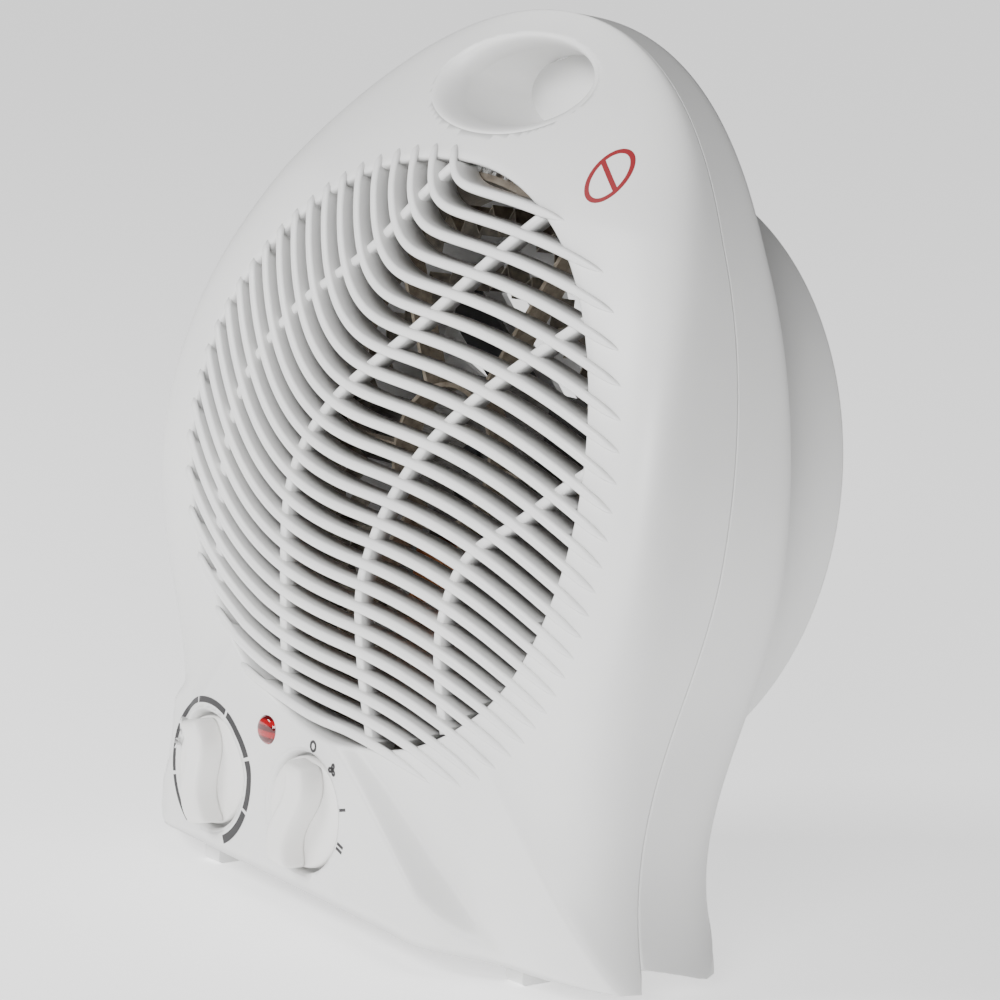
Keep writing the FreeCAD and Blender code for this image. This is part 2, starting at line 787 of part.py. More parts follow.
def mica_frame():
    """Makes the mica frame: a hub ring and six radial boards that reach the duct."""
    body = new_body("mica_frame")
    hub = new_sketch(body, "XZ_Plane", "-mica_front")
    draw_circle(hub, "mica_hub_radius")
    draw_circle(hub, "mica_hub_radius - mica_thickness")
    pad(body, hub, "mica_back - mica_front")
    board = new_sketch(body, "XZ_Plane", "-mica_front")
    near = "mica_hub_radius - mica_thickness / 2"
    draw_rectangle(board, near, "-mica_thickness / 2", "duct_radius - duct_wall", "mica_thickness / 2")
    board_pad = pad(body, board, "mica_back - mica_front")
    polar(body, [board_pad], "6")
    on_axis(keep(body, "mica_frame"))


def heating_coil(label, radius, waves):
    """Makes a closed corrugated ribbon of resistance wire standing on the mica boards' back edges."""
    middle = size(radius)
    swing = size("coil_swing")
    half = size("wire_thickness") / 2
    rings = []
    for offset in (half, -half):
        corners = []
        for step in range(2 * waves + 1):
            angle = math.pi * step / waves
            reach = middle + offset + (swing if step % 2 else -swing)
            corners.append(Vector(reach * math.cos(angle), 0, reach * math.sin(angle)))
        rings.append(Part.Wire(Part.makePolygon(corners[:-1] + corners[:1])))
    face = Part.makeFace(rings, "Part::FaceMakerBullseye")
    ribbon = face.extrude(Vector(0, size("coil_height"), 0))
    piece = doc.addObject("Part::Feature", label)
    piece.Shape = ribbon
    on_axis(keep(piece, label), "mica_back")


air_duct()
mica_frame()
heating_coil("heating_coil_outer", "coil_outer_radius", 48)
heating_coil("heating_coil_inner", "coil_inner_radius", 32)


# ---------------------------------------------------------------- motor and fan

def motor_screw_holes(body, start="0"):
    """Cuts the two motor screw holes through a body."""
    sketch = new_sketch(body, "XZ_Plane", start)
    draw_circle(sketch, "motor_screw_radius", "motor_screw_x")
    draw_circle(sketch, "motor_screw_radius", "-motor_screw_x")
    pocket_through(body, sketch)


def motor_stator():
    """Makes the laminated stack with the rotor bore and the window for the winding."""
    body = new_body("motor_stator")
    sketch = new_sketch(body, "XZ_Plane")
    half = "stator_width / 2"
    draw_rectangle(sketch, "-" + half, "-stator_bottom", half, "stator_top")
    pad(body, sketch, "stator_back - stator_front")
    bore = new_sketch(body, "XZ_Plane")
    draw_circle(bore, "rotor_radius + air_gap")
    pocket_through(body, bore)
    window = new_sketch(body, "XZ_Plane")
    side = "winding_width / 2 + 1"
    draw_rectangle(window, "-(%s)" % side, "yoke_height - stator_bottom", side, "-(rotor_radius + 4)")
    pocket_through(body, window)
    motor_screw_holes(body)
    on_axis(keep(body, "motor_stator"), "stator_front")


def motor_winding():
    """Makes the winding round the stator's lower yoke."""
    body = new_body("motor_winding")
    sketch = new_sketch(body, "YZ_Plane", "-winding_width / 2")
    low = "-stator_bottom - winding_wall"
    high = "yoke_height - stator_bottom + winding_wall"
    draw_rectangle(sketch, "stator_front - winding_wall", low, "stator_back + winding_wall", high)
    draw_rectangle(sketch, "stator_front", "-stator_bottom", "stator_back", "yoke_height - stator_bottom")
    pad(body, sketch, "winding_width", backwards=False)
    on_axis(keep(body, "motor_winding"))


def end_plate(label, along):
    """Makes a motor end plate with the shaft bearing bored in it."""
    body = new_body(label)
    sketch = new_sketch(body, "XZ_Plane")
    half = "stator_width / 2"
    draw_rectangle(sketch, "-" + half, "-plate_height / 2", half, "plate_height / 2")
    pad(body, sketch, "plate_thickness")
    bore = new_sketch(body, "XZ_Plane")
    draw_circle(bore, "shaft_radius + fit_gap")
    pocket_through(body, bore)
    motor_screw_holes(body)
    on_axis(keep(body, label), along)


def motor_strap():
    """Makes the strap that carries the motor across the duct."""
    body = new_body("motor_strap")
    sketch = new_sketch(body, "XZ_Plane")
    far = "duct_radius + tab_length"
    draw_rectangle(sketch, "-(%s)" % far, "-strap_height / 2", far, "strap_height / 2")
    pad(body, sketch, "strap_thickness")
    holes = new_sketch(body, "XZ_Plane")
    draw_circle(holes, "shaft_radius + 3")
    spot = "duct_radius + tab_length / 2"
    draw_circle(holes, "screw_radius", spot)
    draw_circle(holes, "screw_radius", "-(%s)" % spot)
    pocket_through(body, holes)
    motor_screw_holes(body)
    on_axis(keep(body, "motor_strap"), "stator_back + plate_thickness")


def screw_body(name, radius, length):
    """Makes a pan-head screw along Y: the head ends at y = 0 and the shank points to -Y."""
    head = "2 * %s" % radius
    body = new_body(name)
    sketch = new_sketch(body, "XY_Plane")
    draw_polygon(sketch, [
        ("0", "-(%s)" % length),
        (radius, "-(%s)" % length),
        (radius, "0"),
        (head, "0"),
        (head, radius),
        ("0", radius),
    ])
    feature = body.newObject("PartDesign::Revolution", name + "_turn")
    feature.Profile = sketch
    feature.ReferenceAxis = (origin_part(body, "Y_Axis"), [""])
    feature.Angle = 360
    return body


def at(x, y, z):
    """Gives an unturned placement."""
    return Placement(Vector(x, y, z), Rotation())


def screws():
    """Makes the motor, strap and casing screws, each kind as one group of separate solids."""
    through = "stator_back - stator_front + 2 * plate_thickness + strap_thickness"
    motor = screw_body("motor_screw", "motor_screw_radius", through)
    moves = [at(side * size("motor_screw_x"), 0, 0) for side in (-1, 1)]
    on_axis(group("motor_screws", motor, moves), "stator_back + plate_thickness + strap_thickness")
    strap = screw_body("strap_screw", "screw_radius", "strap_thickness + tab_thickness")
    spot = size("duct_radius") + size("tab_length") / 2
    on_axis(group("strap_screws", strap, [at(side * spot, 0, 0) for side in (-1, 1)]), "duct_back + strap_thickness")
    casing = screw_body("casing_screw", "screw_radius", "boss_seat + screw_reach - 1")
    place_leaning(group("casing_screws", casing, [at(x, 0, z) for x, z in boss_spots()]), "0", "boss_seat", "0")


def rotor_and_shaft():
    """Makes the rotor, the shaft, its front collar and the nut behind the fan."""
    on_axis(bush("motor_rotor", "shaft_radius", "rotor_radius", "stator_back - stator_front - 2"), "stator_front + 1")
    length = "fan_front + fan_depth + nut_length + 1 - shaft_front"
    on_axis(bush("motor_shaft", "0", "shaft_radius", length), "shaft_front")
    collar = bush("shaft_collar", "shaft_radius", "2 * shaft_radius", "1")
    on_axis(collar, "stator_front - plate_thickness - 1.4")
    on_axis(bush("fan_nut", "shaft_radius", "nut_radius", "nut_length"), "fan_front + fan_depth")


def fan_impeller():
    """Makes the fan: a bored hub with five flat pitched blades."""
    body = new_body("fan_impeller")
    sketch = new_sketch(body, "XZ_Plane")
    draw_circle(sketch, "hub_radius")
    draw_circle(sketch, "shaft_radius")
    pad(body, sketch, "fan_depth")
    blade = new_sketch(body, "YZ_Plane", "hub_radius - 1.5")
    run = "(blade_chord / 2 * cos(blade_pitch * 1 deg))"
    rise = "(blade_chord / 2 * sin(blade_pitch * 1 deg))"
    middle = "fan_depth / 2"
    half = "(blade_thickness / 2)"
    draw_polygon(blade, [
        ("%s - %s - %s" % (middle, rise, half), "-%s * 0.5" % run),
        ("%s - %s + %s" % (middle, rise, half), "-%s * 0.5" % run),
        ("%s + %s * 0.5 + %s" % (middle, rise, half), "%s * 0.5" % run),
        ("%s + %s * 0.5 - %s" % (middle, rise, half), "%s * 0.5" % run),
    ])
    blade_pad = pad(body, blade, "fan_radius - hub_radius", backwards=False)
    polar(body, [blade_pad], "blade_count")
    on_axis(keep(body, "fan_impeller"), "fan_front")


motor_stator()
motor_winding()
end_plate("motor_front_plate", "stator_front - plate_thickness")
end_plate("motor_rear_plate", "stator_back")
motor_strap()
screws()
rotor_and_shaft()
fan_impeller()


# ---------------------------------------------------------------- safety devices and wiring

def cutouts():
    """Makes the thermal cutout and the thermal fuse, one on each side of the mica frame's right board."""
    face = "mica_thickness / 2"
    cutout = new_body("thermal_cutout")
    sketch = new_sketch(cutout, "XY_Plane")
    draw_circle(sketch, "cutout_radius", "duct_radius * 0.7", "mica_back - cutout_radius - cutout_clearance")
    pad(cutout, sketch, "4", backwards=False)
    place_leaning(keep(cutout, "thermal_cutout"), "0", "0", "axis_height + " + face)
    fuse = new_body("thermal_fuse")
    sketch = new_sketch(fuse, "YZ_Plane", "duct_radius * 0.6")
    draw_circle(sketch, "1.8", "(mica_front + mica_back) / 2")
    pad(fuse, sketch, "14", backwards=False)
    place_leaning(keep(fuse, "thermal_fuse"), "0", "0", "axis_height - 1.8 - " + face)


def terminal_block():
    """Makes the terminal block that stands on the casing's floor beside the cord inlet."""
    body = new_body("terminal_block")
    sketch = new_sketch(body, "XY_Plane")
    draw_rectangle(sketch, "-15", "-6", "15", "6")
    pad(body, sketch, "13", backwards=False)
    place_upright(keep(body, "terminal_block"), "10", "rear_wall_y - 18", "ground_gap + wall")


def cord_gland():
    """Makes the bush in the rear wall that a supply cord comes out of."""
    inside = "-(wall + gland_inside)"
    gland = turned("cord_gland", [
        ("gland_bore", inside),
        ("gland_radius", inside),
        ("gland_radius", "0"),
        ("gland_radius + 2", "0"),
        ("gland_radius + 2", "gland_flange"),
        ("gland_bore", "gland_flange"),
    ])
    place_upright(gland, "gland_x", "rear_wall_y", "gland_height")


def lead(label, radius, points, bend):
    """Makes one insulated lead: straight runs joined by tangent arcs, swept with a round section."""
    edges = []
    start = points[0]
    for before, corner, after in zip(points, points[1:], points[2:]):
        into = (corner - before).normalize()
        out = (after - corner).normalize()
        reach = bend * math.tan(into.getAngle(out) / 2)
        first, last = corner - into * reach, corner + out * reach
        bisector = (out - into).normalize()
        centre = corner + bisector * (bend / math.cos(into.getAngle(out) / 2))
        middle = centre - bisector * bend
        edges.append(Part.makeLine(start, first))
        edges.append(Part.Arc(first, middle, last).toShape())
        start = last
    edges.append(Part.makeLine(start, points[-1]))
    section = Part.Wire(Part.makeCircle(radius, points[0], points[1] - points[0]))
    sweep = Part.Wire(edges).makePipeShell([section], True, True)
    return freeform(label, sweep)


def leads():
    """Makes the two internal leads from the terminal block to the controls."""
    block_y = size("rear_wall_y") - 24
    low = size("ground_gap") + size("wall") + 6
    depth = size("recess_depth") + size("wall") + size("control_body_depth")
    thermostat_y = size("thermostat_face_y") + depth
    selector_y = size("selector_face_y") + depth
    half = size("control_body_width") / 4
    lead("lead_to_thermostat", 1.1, [
        Vector(-5, block_y + 6, low),
        Vector(size("thermostat_x"), block_y + 6, low),
        Vector(size("thermostat_x"), block_y + 6, size("dial_height") - half),
        Vector(size("thermostat_x"), thermostat_y, size("dial_height") - half),
    ], 4)
    lead("lead_to_selector", 1.1, [
        Vector(0, block_y, low),
        Vector(0, (block_y + selector_y) / 2, low),
        Vector(0, (block_y + selector_y) / 2, size("dial_height") - half),
        Vector(0, selector_y, size("dial_height") - half),
    ], 3)


cutouts()
terminal_block()
cord_gland()
leads()


# ---------------------------------------------------------------- checks and export

def check_model():
    """Stops unless every object is sound and every sub-part is one or more valid solids."""
    doc.recompute()
    for item in doc.Objects:
        if "Invalid" in item.State or "Error" in item.State:
            raise RuntimeError("%s is %s" % (item.Name, item.State))
    for piece in subparts:
        if piece.Shape.isNull() or not piece.Shape.isValid() or piece.Shape.Volume < 1:
            raise RuntimeError("%s has no valid solid" % piece.Label)


def write_parts():
    """Writes each sub-part to its own file and prints its size."""
    os.makedirs("parts", exist_ok=True)
    for piece in subparts:
        piece.Shape.exportStep("parts/%s.step" % piece.Label)
        box = piece.Shape.BoundBox
        numbers = (len(piece.Shape.Solids), piece.Shape.Volume, box.XMin, box.XMax, box.YMin, box.YMax, box.ZMin, box.ZMax)
        print("%-22s %2d solid(s) %10.0f mm3  x %6.1f %6.1f  y %6.1f %6.1f  z %6.1f %6.1f" % ((piece.Label,) + numbers))


check_model()
write_parts()
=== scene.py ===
import json
import math

import bpy
import numpy as np
from mathutils import Matrix, Vector


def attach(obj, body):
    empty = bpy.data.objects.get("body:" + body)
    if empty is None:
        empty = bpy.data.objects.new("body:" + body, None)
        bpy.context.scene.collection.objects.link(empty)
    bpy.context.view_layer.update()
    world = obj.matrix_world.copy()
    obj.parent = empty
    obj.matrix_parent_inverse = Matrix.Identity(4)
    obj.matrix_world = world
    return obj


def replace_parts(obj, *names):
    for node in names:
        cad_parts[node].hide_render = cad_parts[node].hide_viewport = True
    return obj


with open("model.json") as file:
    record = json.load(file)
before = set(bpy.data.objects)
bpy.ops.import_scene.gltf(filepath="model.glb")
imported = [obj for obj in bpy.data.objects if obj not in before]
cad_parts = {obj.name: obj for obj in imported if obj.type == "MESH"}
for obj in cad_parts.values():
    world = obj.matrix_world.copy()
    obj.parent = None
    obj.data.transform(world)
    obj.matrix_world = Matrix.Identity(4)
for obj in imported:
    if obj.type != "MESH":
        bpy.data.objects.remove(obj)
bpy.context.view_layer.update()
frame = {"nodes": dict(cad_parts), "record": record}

# Upright fan convector heater.  Shapes are worked out in millimetres in the heater's own leaning
# frame, where the seam between the two casings is the plane y = 0 and the fan axis runs along y.
# stand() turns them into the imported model's frame, in metres.

MM = 0.001

LEAN = math.radians(6.0)
SETBACK = 23.5
GROUND_GAP = 5.0
AXIS_HEIGHT = 133.0

# outline of the casing on the seam plane
WIDEST = 106.5
WIDEST_HEIGHT = 124.0
CASING_TOP = 262.3
TOP_POWER = 2.05
WAIST = 94.6
WAIST_HEIGHT = 45.0
BASE_SPREAD = 8.5
BASE_RUN = 38.0

# face of the front casing
FACE_DEPTH = 35.0
FACE_HEIGHT = 125.0
FACE_FALL_ABOVE = 0.001
FACE_FALL_TOP = 4.0e-8
FACE_FALL_BELOW = 0.00072
FACE_TUCK = 3.0
BEND_START = 205.0
BEND = 9.0
BEND_POWER = 1.3
WALL = 2.0
EDGE_LIFT = 2.4

# rear casing
REAR_WALL = 42.4
DRUM_RADIUS = 90.5
DRUM_DEPTH = 60.3
DRUM_ROUND = 2.2
DRUM_FOOT = 2.0
INLET_RADIUS = 77.0

# front grille
GRILLE_RADIUS = 83.0
RIM_ROUND = 1.2
COLLAR_BACK = -14.0
LOUVRES = 25
LOUVRE_WIDTH = 2.7
LOUVRE_DEPTH = 9.0
LOUVRE_PROUD = 1.3
TAIL_DEPTH = 1.4
RIB_WIDTH = 3.0
RIB_DEPTH = 5.0
RIB_SUNK = 0.9

# control pad
PAD_SLOPE = -5.5 / 51.0
PAD_STEP = 7.0
PAD_LEFT = -97.0
PAD_LEFT_RUN = 14.0
PAD_RIGHT = 72.0
PAD_RIGHT_RUN = 30.0
DIAL_HEIGHT = 30.0
THERMOSTAT_X = -62.5
THERMOSTAT_FACE = -21.0
SELECTOR_X = -11.5
SELECTOR_FACE = -26.5
RECESS_RADIUS = 17.0
RECESS_DEPTH = 6.5
THERMOSTAT_MOUTH = (0.0, 18.4, 18.4)
SELECTOR_MOUTH = (-1.4, 19.0, 17.9)
THERMOSTAT_TURN = math.radians(-15.0)
SELECTOR_TURN = math.radians(7.0)
GRIP_HALF_LENGTH = 15.3
GRIP_HALF_WIDTH = 4.3
GRIP_WAVE = 2.3
GRIP_HEIGHT = 7.8
SCALE_RADIUS = 21.0
SCALE_START = 212.0
SCALE_STEP = 43.5
SCALE_BREAK = 3.0
MARK_RADIUS = 19.9
LAMP_X = -33.5
LAMP_HEIGHT = 49.0

# printed marks
INK_PROUD = 0.12
INK_SUNK = 0.4
SIGN_X = 55.5
SIGN_Z = 219.0
SIGN_RADIUS = 7.2
SIGN_LINE = 1.3

# pieces inside the casing that are darker than their slot: painted shade for the shadow inside the casing
PAINTED_SHADE_FINISH = {
    "air_duct": "painted_shade_duct_steel",
    "motor_strap": "lamination",
    "motor_front_plate": "lamination",
}

# handle passage
HANDLE_HEIGHT = 239.8
HANDLE_MOUTH = (32.0, 15.2)
HANDLE_THROAT = (26.0, 12.2)
HANDLE_REAR = (19.5, 11.2)
HANDLE_REAR_MOUTH = (21.5, 12.8)


# ---------------------------------------------------------------- mesh helpers

def stand(points):
    """Turns leaning points in millimetres into frame points in metres: a turn about x, then a setback."""
    x, y, z = np.moveaxis(np.asarray(points, float), -1, 0)
    upright_y = y * math.cos(LEAN) + z * math.sin(LEAN) - SETBACK
    upright_z = z * math.cos(LEAN) - y * math.sin(LEAN)
    return np.stack([x, upright_y, upright_z], -1) * MM


def upright(points):
    """Shifts upright points in millimetres, measured from the seam's foot, into frame points in metres."""
    return (np.asarray(points, float) - [0.0, SETBACK, 0.0]) * MM


def quads(rows, columns, closed_rows=False, closed_columns=True):
    """Lists the corner numbers of a grid's cells, closing it along either direction when asked."""
    i = np.arange(rows if closed_rows else rows - 1)[:, None]
    j = np.arange(columns if closed_columns else columns - 1)[None, :]
    next_i = (i + 1) % rows
    next_j = (j + 1) % columns
    corners = [i * columns + j, i * columns + next_j, next_i * columns + next_j, next_i * columns + j]
    return np.stack(np.broadcast_arrays(*corners), -1).reshape(-1, 4)


def build(name, points, faces, material, body, smooth=True, caps=()):
    """Makes a mesh object from frame points and faces, leaving out points that no face uses."""
    points = np.asarray(points, float).reshape(-1, 3)
    used = np.zeros(len(points), bool)
    used[faces.ravel()] = True
    for cap in caps:
        used[cap] = True
    number = np.cumsum(used) - 1
    cells = number[faces].tolist() + [number[cap].tolist() for cap in caps]
    mesh = bpy.data.meshes.new(name)
    mesh.from_pydata(points[used].tolist(), [], cells)
    mesh.update()
    if smooth:
        mesh.shade_smooth()
    mesh.materials.append(material)
    piece = bpy.data.objects.new(name, mesh)
    bpy.context.scene.collection.objects.link(piece)
    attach(piece, body)
    return piece


def solidify(piece, thickness):
    """Gives a surface a wall on its inner side."""
    wall = piece.modifiers.new("wall", "SOLIDIFY")
    wall.thickness = thickness * MM
    wall.offset = -1.0
    return piece


def sweep(sections):
    """Joins rings of points (rings, points round, 3) into a closed tube and names its two end rings."""
    rings, around = sections.shape[:2]
    faces = quads(rings, around)
    first = np.arange(around)[::-1]
    last = np.arange(around) + (rings - 1) * around
    return faces, (first, last)


def smooth_step(value):
    """Rises from 0 to 1 over the range 0 to 1 with level ends: 3t^2 - 2t^3."""
    t = np.clip(value, 0.0, 1.0)
    return t * t * (3.0 - 2.0 * t)


# ---------------------------------------------------------------- casing formulas

def half_width(z):
    """Half the casing's width at a height.

    Above the widest height it is a superellipse.  Below, it falls to the waist as a squared sine and
    spreads again to the base as a parabola.
    """
    z = np.asarray(z, float)
    rise = np.clip((z - WIDEST_HEIGHT) / (CASING_TOP - WIDEST_HEIGHT), 0.0, 1.0)
    upper = WIDEST * (1.0 - rise**TOP_POWER) ** (1.0 / TOP_POWER)
    turn = np.clip((WIDEST_HEIGHT - z) / (WIDEST_HEIGHT - WAIST_HEIGHT), 0.0, 1.0)
    middle = WIDEST - (WIDEST - WAIST) * np.sin(turn * math.pi / 2) ** 2
    foot = BASE_SPREAD * (np.clip(WAIST_HEIGHT - z, 0.0, WAIST_HEIGHT) / BASE_RUN) ** 2
    return np.where(z > WIDEST_HEIGHT, upper, middle + foot)


def outline_reach():
    """Finds, for each direction round the fan axis, how far the outline is: a table of angle and reach.

    The outline runs on below the ground, where the casings are trimmed later.
    """
    upper = np.linspace(WIDEST_HEIGHT, CASING_TOP, 1200)[1:]
    z = np.concatenate([np.linspace(-70.0, WIDEST_HEIGHT, 400), upper])
    x = half_width(z)
    tail_x = np.linspace(0.0, x[0], 60)[:-1]
    x = np.concatenate([tail_x, x])
    z = np.concatenate([np.full(tail_x.shape, z[0]), z])
    angle = np.arctan2(z - AXIS_HEIGHT, x)
    return angle, np.hypot(x, z - AXIS_HEIGHT)


REACH_ANGLES, REACHES = outline_reach()


def reach(angle):
    """Distance from the fan axis to the outline; the left half mirrors the right."""
    folded = np.arctan2(np.sin(angle), np.abs(np.cos(angle)))
    return np.interp(folded, REACH_ANGLES, REACHES)


def pillow(fraction, flat, steep):
    """Height of a superellipse over 0 to 1: (1 - fraction^flat)^(1 / steep)."""
    return (1.0 - np.clip(fraction, 0.0, 1.0) ** flat) ** (1.0 / steep)


def folded_degrees(angle):
    """Angle above the horizontal, the same for the left and the right half."""
    return np.degrees(np.arctan2(np.sin(angle), np.abs(np.cos(angle))))


def face_powers(angle):
    """How flat the face is and how steep its edge: firm at the flanks, softer above, sloping at the base."""
    flank = np.exp(-(((folded_degrees(angle) + 2.0) / 34.0) ** 2))
    above = smooth_step((folded_degrees(angle) + 55.0) / 60.0)
    return 3.4 + 4.6 * flank, 1.1 + 1.3 * above + 5.6 * flank


def rear_powers(angle):
    """How flat the rear wall is and how steep its edge: firm at the flanks and soft at the base."""
    firm = 8.0 * smooth_step((folded_degrees(angle) + 62.0) / 50.0)
    return 4.6 + firm, 2.9 + firm


def edge_rows(span, flat, steep, start, stop, rows):
    """Spaces rows from a start radius out to a last fraction of the span, with the height of each.

    A squared sine and cosine share out the superellipse, eased so that the last rows are even.
    """
    first = np.arcsin((start / span) ** (flat / 2.0))
    last = np.arcsin(stop ** (flat / 2.0))
    ease = 1.0 - (1.0 - np.linspace(0.0, 1.0, rows)[:, None]) ** (steep / 2.0)
    turn = first + (last - first) * ease
    fraction = np.sin(turn) ** (2.0 / flat)
    height = np.abs(np.cos(turn)) ** (2.0 / steep)
    height[-1] = np.where(stop[0] < 1.0, height[-1], 0.0)
    return fraction, height


def ground_stop(angle, surface, lift):
    """Finds the fraction of the reach where each direction meets the casing's lower edge, or else 1.

    The edge is level at the ground gap, and lift raises it left of the right-hand corner.  Its leaning
    height depends on the surface's depth there, so five steps of closing in find it.
    """
    stop = np.ones(angle.shape)
    fall = np.minimum(np.sin(angle), -1e-9)
    for _ in range(5):
        x = stop * reach(angle) * np.cos(angle)
        z = AXIS_HEIGHT + stop * reach(angle) * np.sin(angle)
        depth = surface(x, z)
        gap = GROUND_GAP + lift * smooth_step((80.0 - x) / 50.0) * smooth_step((x + 100.0) / 15.0)
        level = (gap + depth * math.sin(LEAN)) / math.cos(LEAN)
        stop = np.clip((level - AXIS_HEIGHT) / (reach(angle) * fall), 0.5, 1.0)
    return stop


def face_depth(z):
    """Depth of the face in front of the seam on the middle line.

    It falls as a parabola below and as a parabola and a fourth power above, and tucks in at the ground.
    """
    above = FACE_FALL_ABOVE + FACE_FALL_TOP * (z - FACE_HEIGHT) ** 2
    fall = np.where(z > FACE_HEIGHT, above, FACE_FALL_BELOW)
    tuck = FACE_TUCK * np.exp(-np.clip(z - 3.0, 0.0, None) / 4.0)
    return FACE_DEPTH - fall * (z - FACE_HEIGHT) ** 2 - tuck


def bend(z):
    """How far the whole casing bends back near its top, as a power of the height above the bend."""
    return BEND * (np.clip(z - BEND_START, 0.0, None) / (CASING_TOP - BEND_START)) ** BEND_POWER


def panel(x, z):
    """Leaning depth of the upright control panel, a plane that faces slightly left."""
    upright_y = THERMOSTAT_FACE + PAD_SLOPE * (x - THERMOSTAT_X)
    return (upright_y - z * math.sin(LEAN)) / math.cos(LEAN)


def pad_line(x):
    """Height of the pad's upper edge: a crest over the dials that falls away to the right."""
    left = 61.0 - 0.009 * np.clip(-x - 52.0, 0.0, None) ** 2
    fall = 52.0 * smooth_step((x + 22.0) / 105.0)
    return left - fall


def face(x, z):
    """Leaning depth of the front casing's face: the pillow, pulled forward to the panel on the pad."""
    angle = np.arctan2(z - AXIS_HEIGHT, x)
    fraction = np.hypot(x, z - AXIS_HEIGHT) / reach(angle)
    return on_pad(x, z, -face_depth(z) * pillow(fraction, *face_powers(angle))) + bend(z)


def on_pad(x, z, depth):
    """Blends a face depth into the raised pad across a soft step below the pad's edge."""
    inside = smooth_step((pad_line(x) - z) / PAD_STEP) * smooth_step((x - PAD_LEFT) / PAD_LEFT_RUN)
    fade = smooth_step((PAD_RIGHT - x) / PAD_RIGHT_RUN)
    return depth + np.minimum(panel(x, z) - depth, 0.0) * inside * fade


def ellipse_holes():
    """Lists the openings of the face as centre x, centre z, half width, half height."""
    return [
        (0.0, HANDLE_HEIGHT, *HANDLE_MOUTH),
        dial_mouth(THERMOSTAT_X, THERMOSTAT_MOUTH),
        dial_mouth(SELECTOR_X, SELECTOR_MOUTH),
    ]


def dial_mouth(x, mouth):
    """Gives a dial recess's mouth as centre x, centre z, half width, half height."""
    shift, half_x, half_z = mouth
    return (x + shift, dial_level(x), half_x, half_z)


def dial_level(x):
    """Leaning height of a point of the panel at the dials' upright height."""
    upright_y = THERMOSTAT_FACE + PAD_SLOPE * (x - THERMOSTAT_X)
    return DIAL_HEIGHT * math.cos(LEAN) + upright_y * math.sin(LEAN)


# ---------------------------------------------------------------- trimming

def snap_to_holes(x, z, holes):
    """Finds the points inside any hole, and where each lands on its edge when moved out from its centre."""
    inside = np.zeros(x.shape, bool)
    new_x, new_z = x.copy(), z.copy()
    for centre_x, centre_z, half_x, half_z in holes:
        dx, dz = x - centre_x, z - centre_z
        ratio = np.hypot(dx / half_x, dz / half_z)
        here = ratio < 1.0 + 0.4 / half_z
        inside |= here
        grow = 1.0 / np.maximum(ratio, 1e-6)
        new_x = np.where(here, centre_x + dx * grow, new_x)
        new_z = np.where(here, centre_z + dz * grow, new_z)
    return inside, new_x, new_z


# ---------------------------------------------------------------- casings

def casing_angles(columns):
    """Even directions round the fan axis."""
    return np.linspace(0.0, 2.0 * math.pi, columns, endpoint=False)


def front_shell(material):
    """Makes the front casing's face and side as one surface round the grille opening.

    Columns are directions round the fan axis.  Rows start inside the collar, turn over the grille's
    rim and run out along the superellipse to the seam or the lower edge, spaced by its own angle.
    """
    columns, rows = 700, 58
    angle = casing_angles(columns)[None, :]
    span = reach(angle)
    stop = ground_stop(angle, face, EDGE_LIFT)
    fraction, height = edge_rows(span, *face_powers(angle), GRILLE_RADIUS + RIM_ROUND, stop, rows)
    x = fraction * span * np.cos(angle)
    z = AXIS_HEIGHT + fraction * span * np.sin(angle)
    depth = -face_depth(z) * height
    inside, snapped_x, snapped_z = snap_to_holes(x, z, ellipse_holes())
    depth = np.where(inside, face(snapped_x, snapped_z), on_pad(x, z, depth) + bend(z))
    points = np.stack([snapped_x, depth, snapped_z], -1)

    rim = points[0]
    ring_x, ring_z = np.cos(angle[0]), np.sin(angle[0])
    rim_rows = []
    for inset, back in ((RIM_ROUND, None), (RIM_ROUND, 9.0), (RIM_ROUND, 1.4), (0.85, 0.35), (0.35, 0.05)):
        radius = GRILLE_RADIUS + RIM_ROUND - inset
        level = np.full(columns, COLLAR_BACK) if back is None else rim[:, 1] + back
        rim_rows.append(np.stack([radius * ring_x, level, AXIS_HEIGHT + radius * ring_z], -1))
    points = np.concatenate([np.stack(rim_rows), points])
    inside = np.concatenate([np.zeros((len(rim_rows), columns), bool), inside])

    faces = quads(len(points), columns)[:, ::-1]
    faces = faces[~inside.ravel()[faces].all(1)]
    return solidify(build("front_casing_shell", stand(points), faces, material, "housing"), WALL)


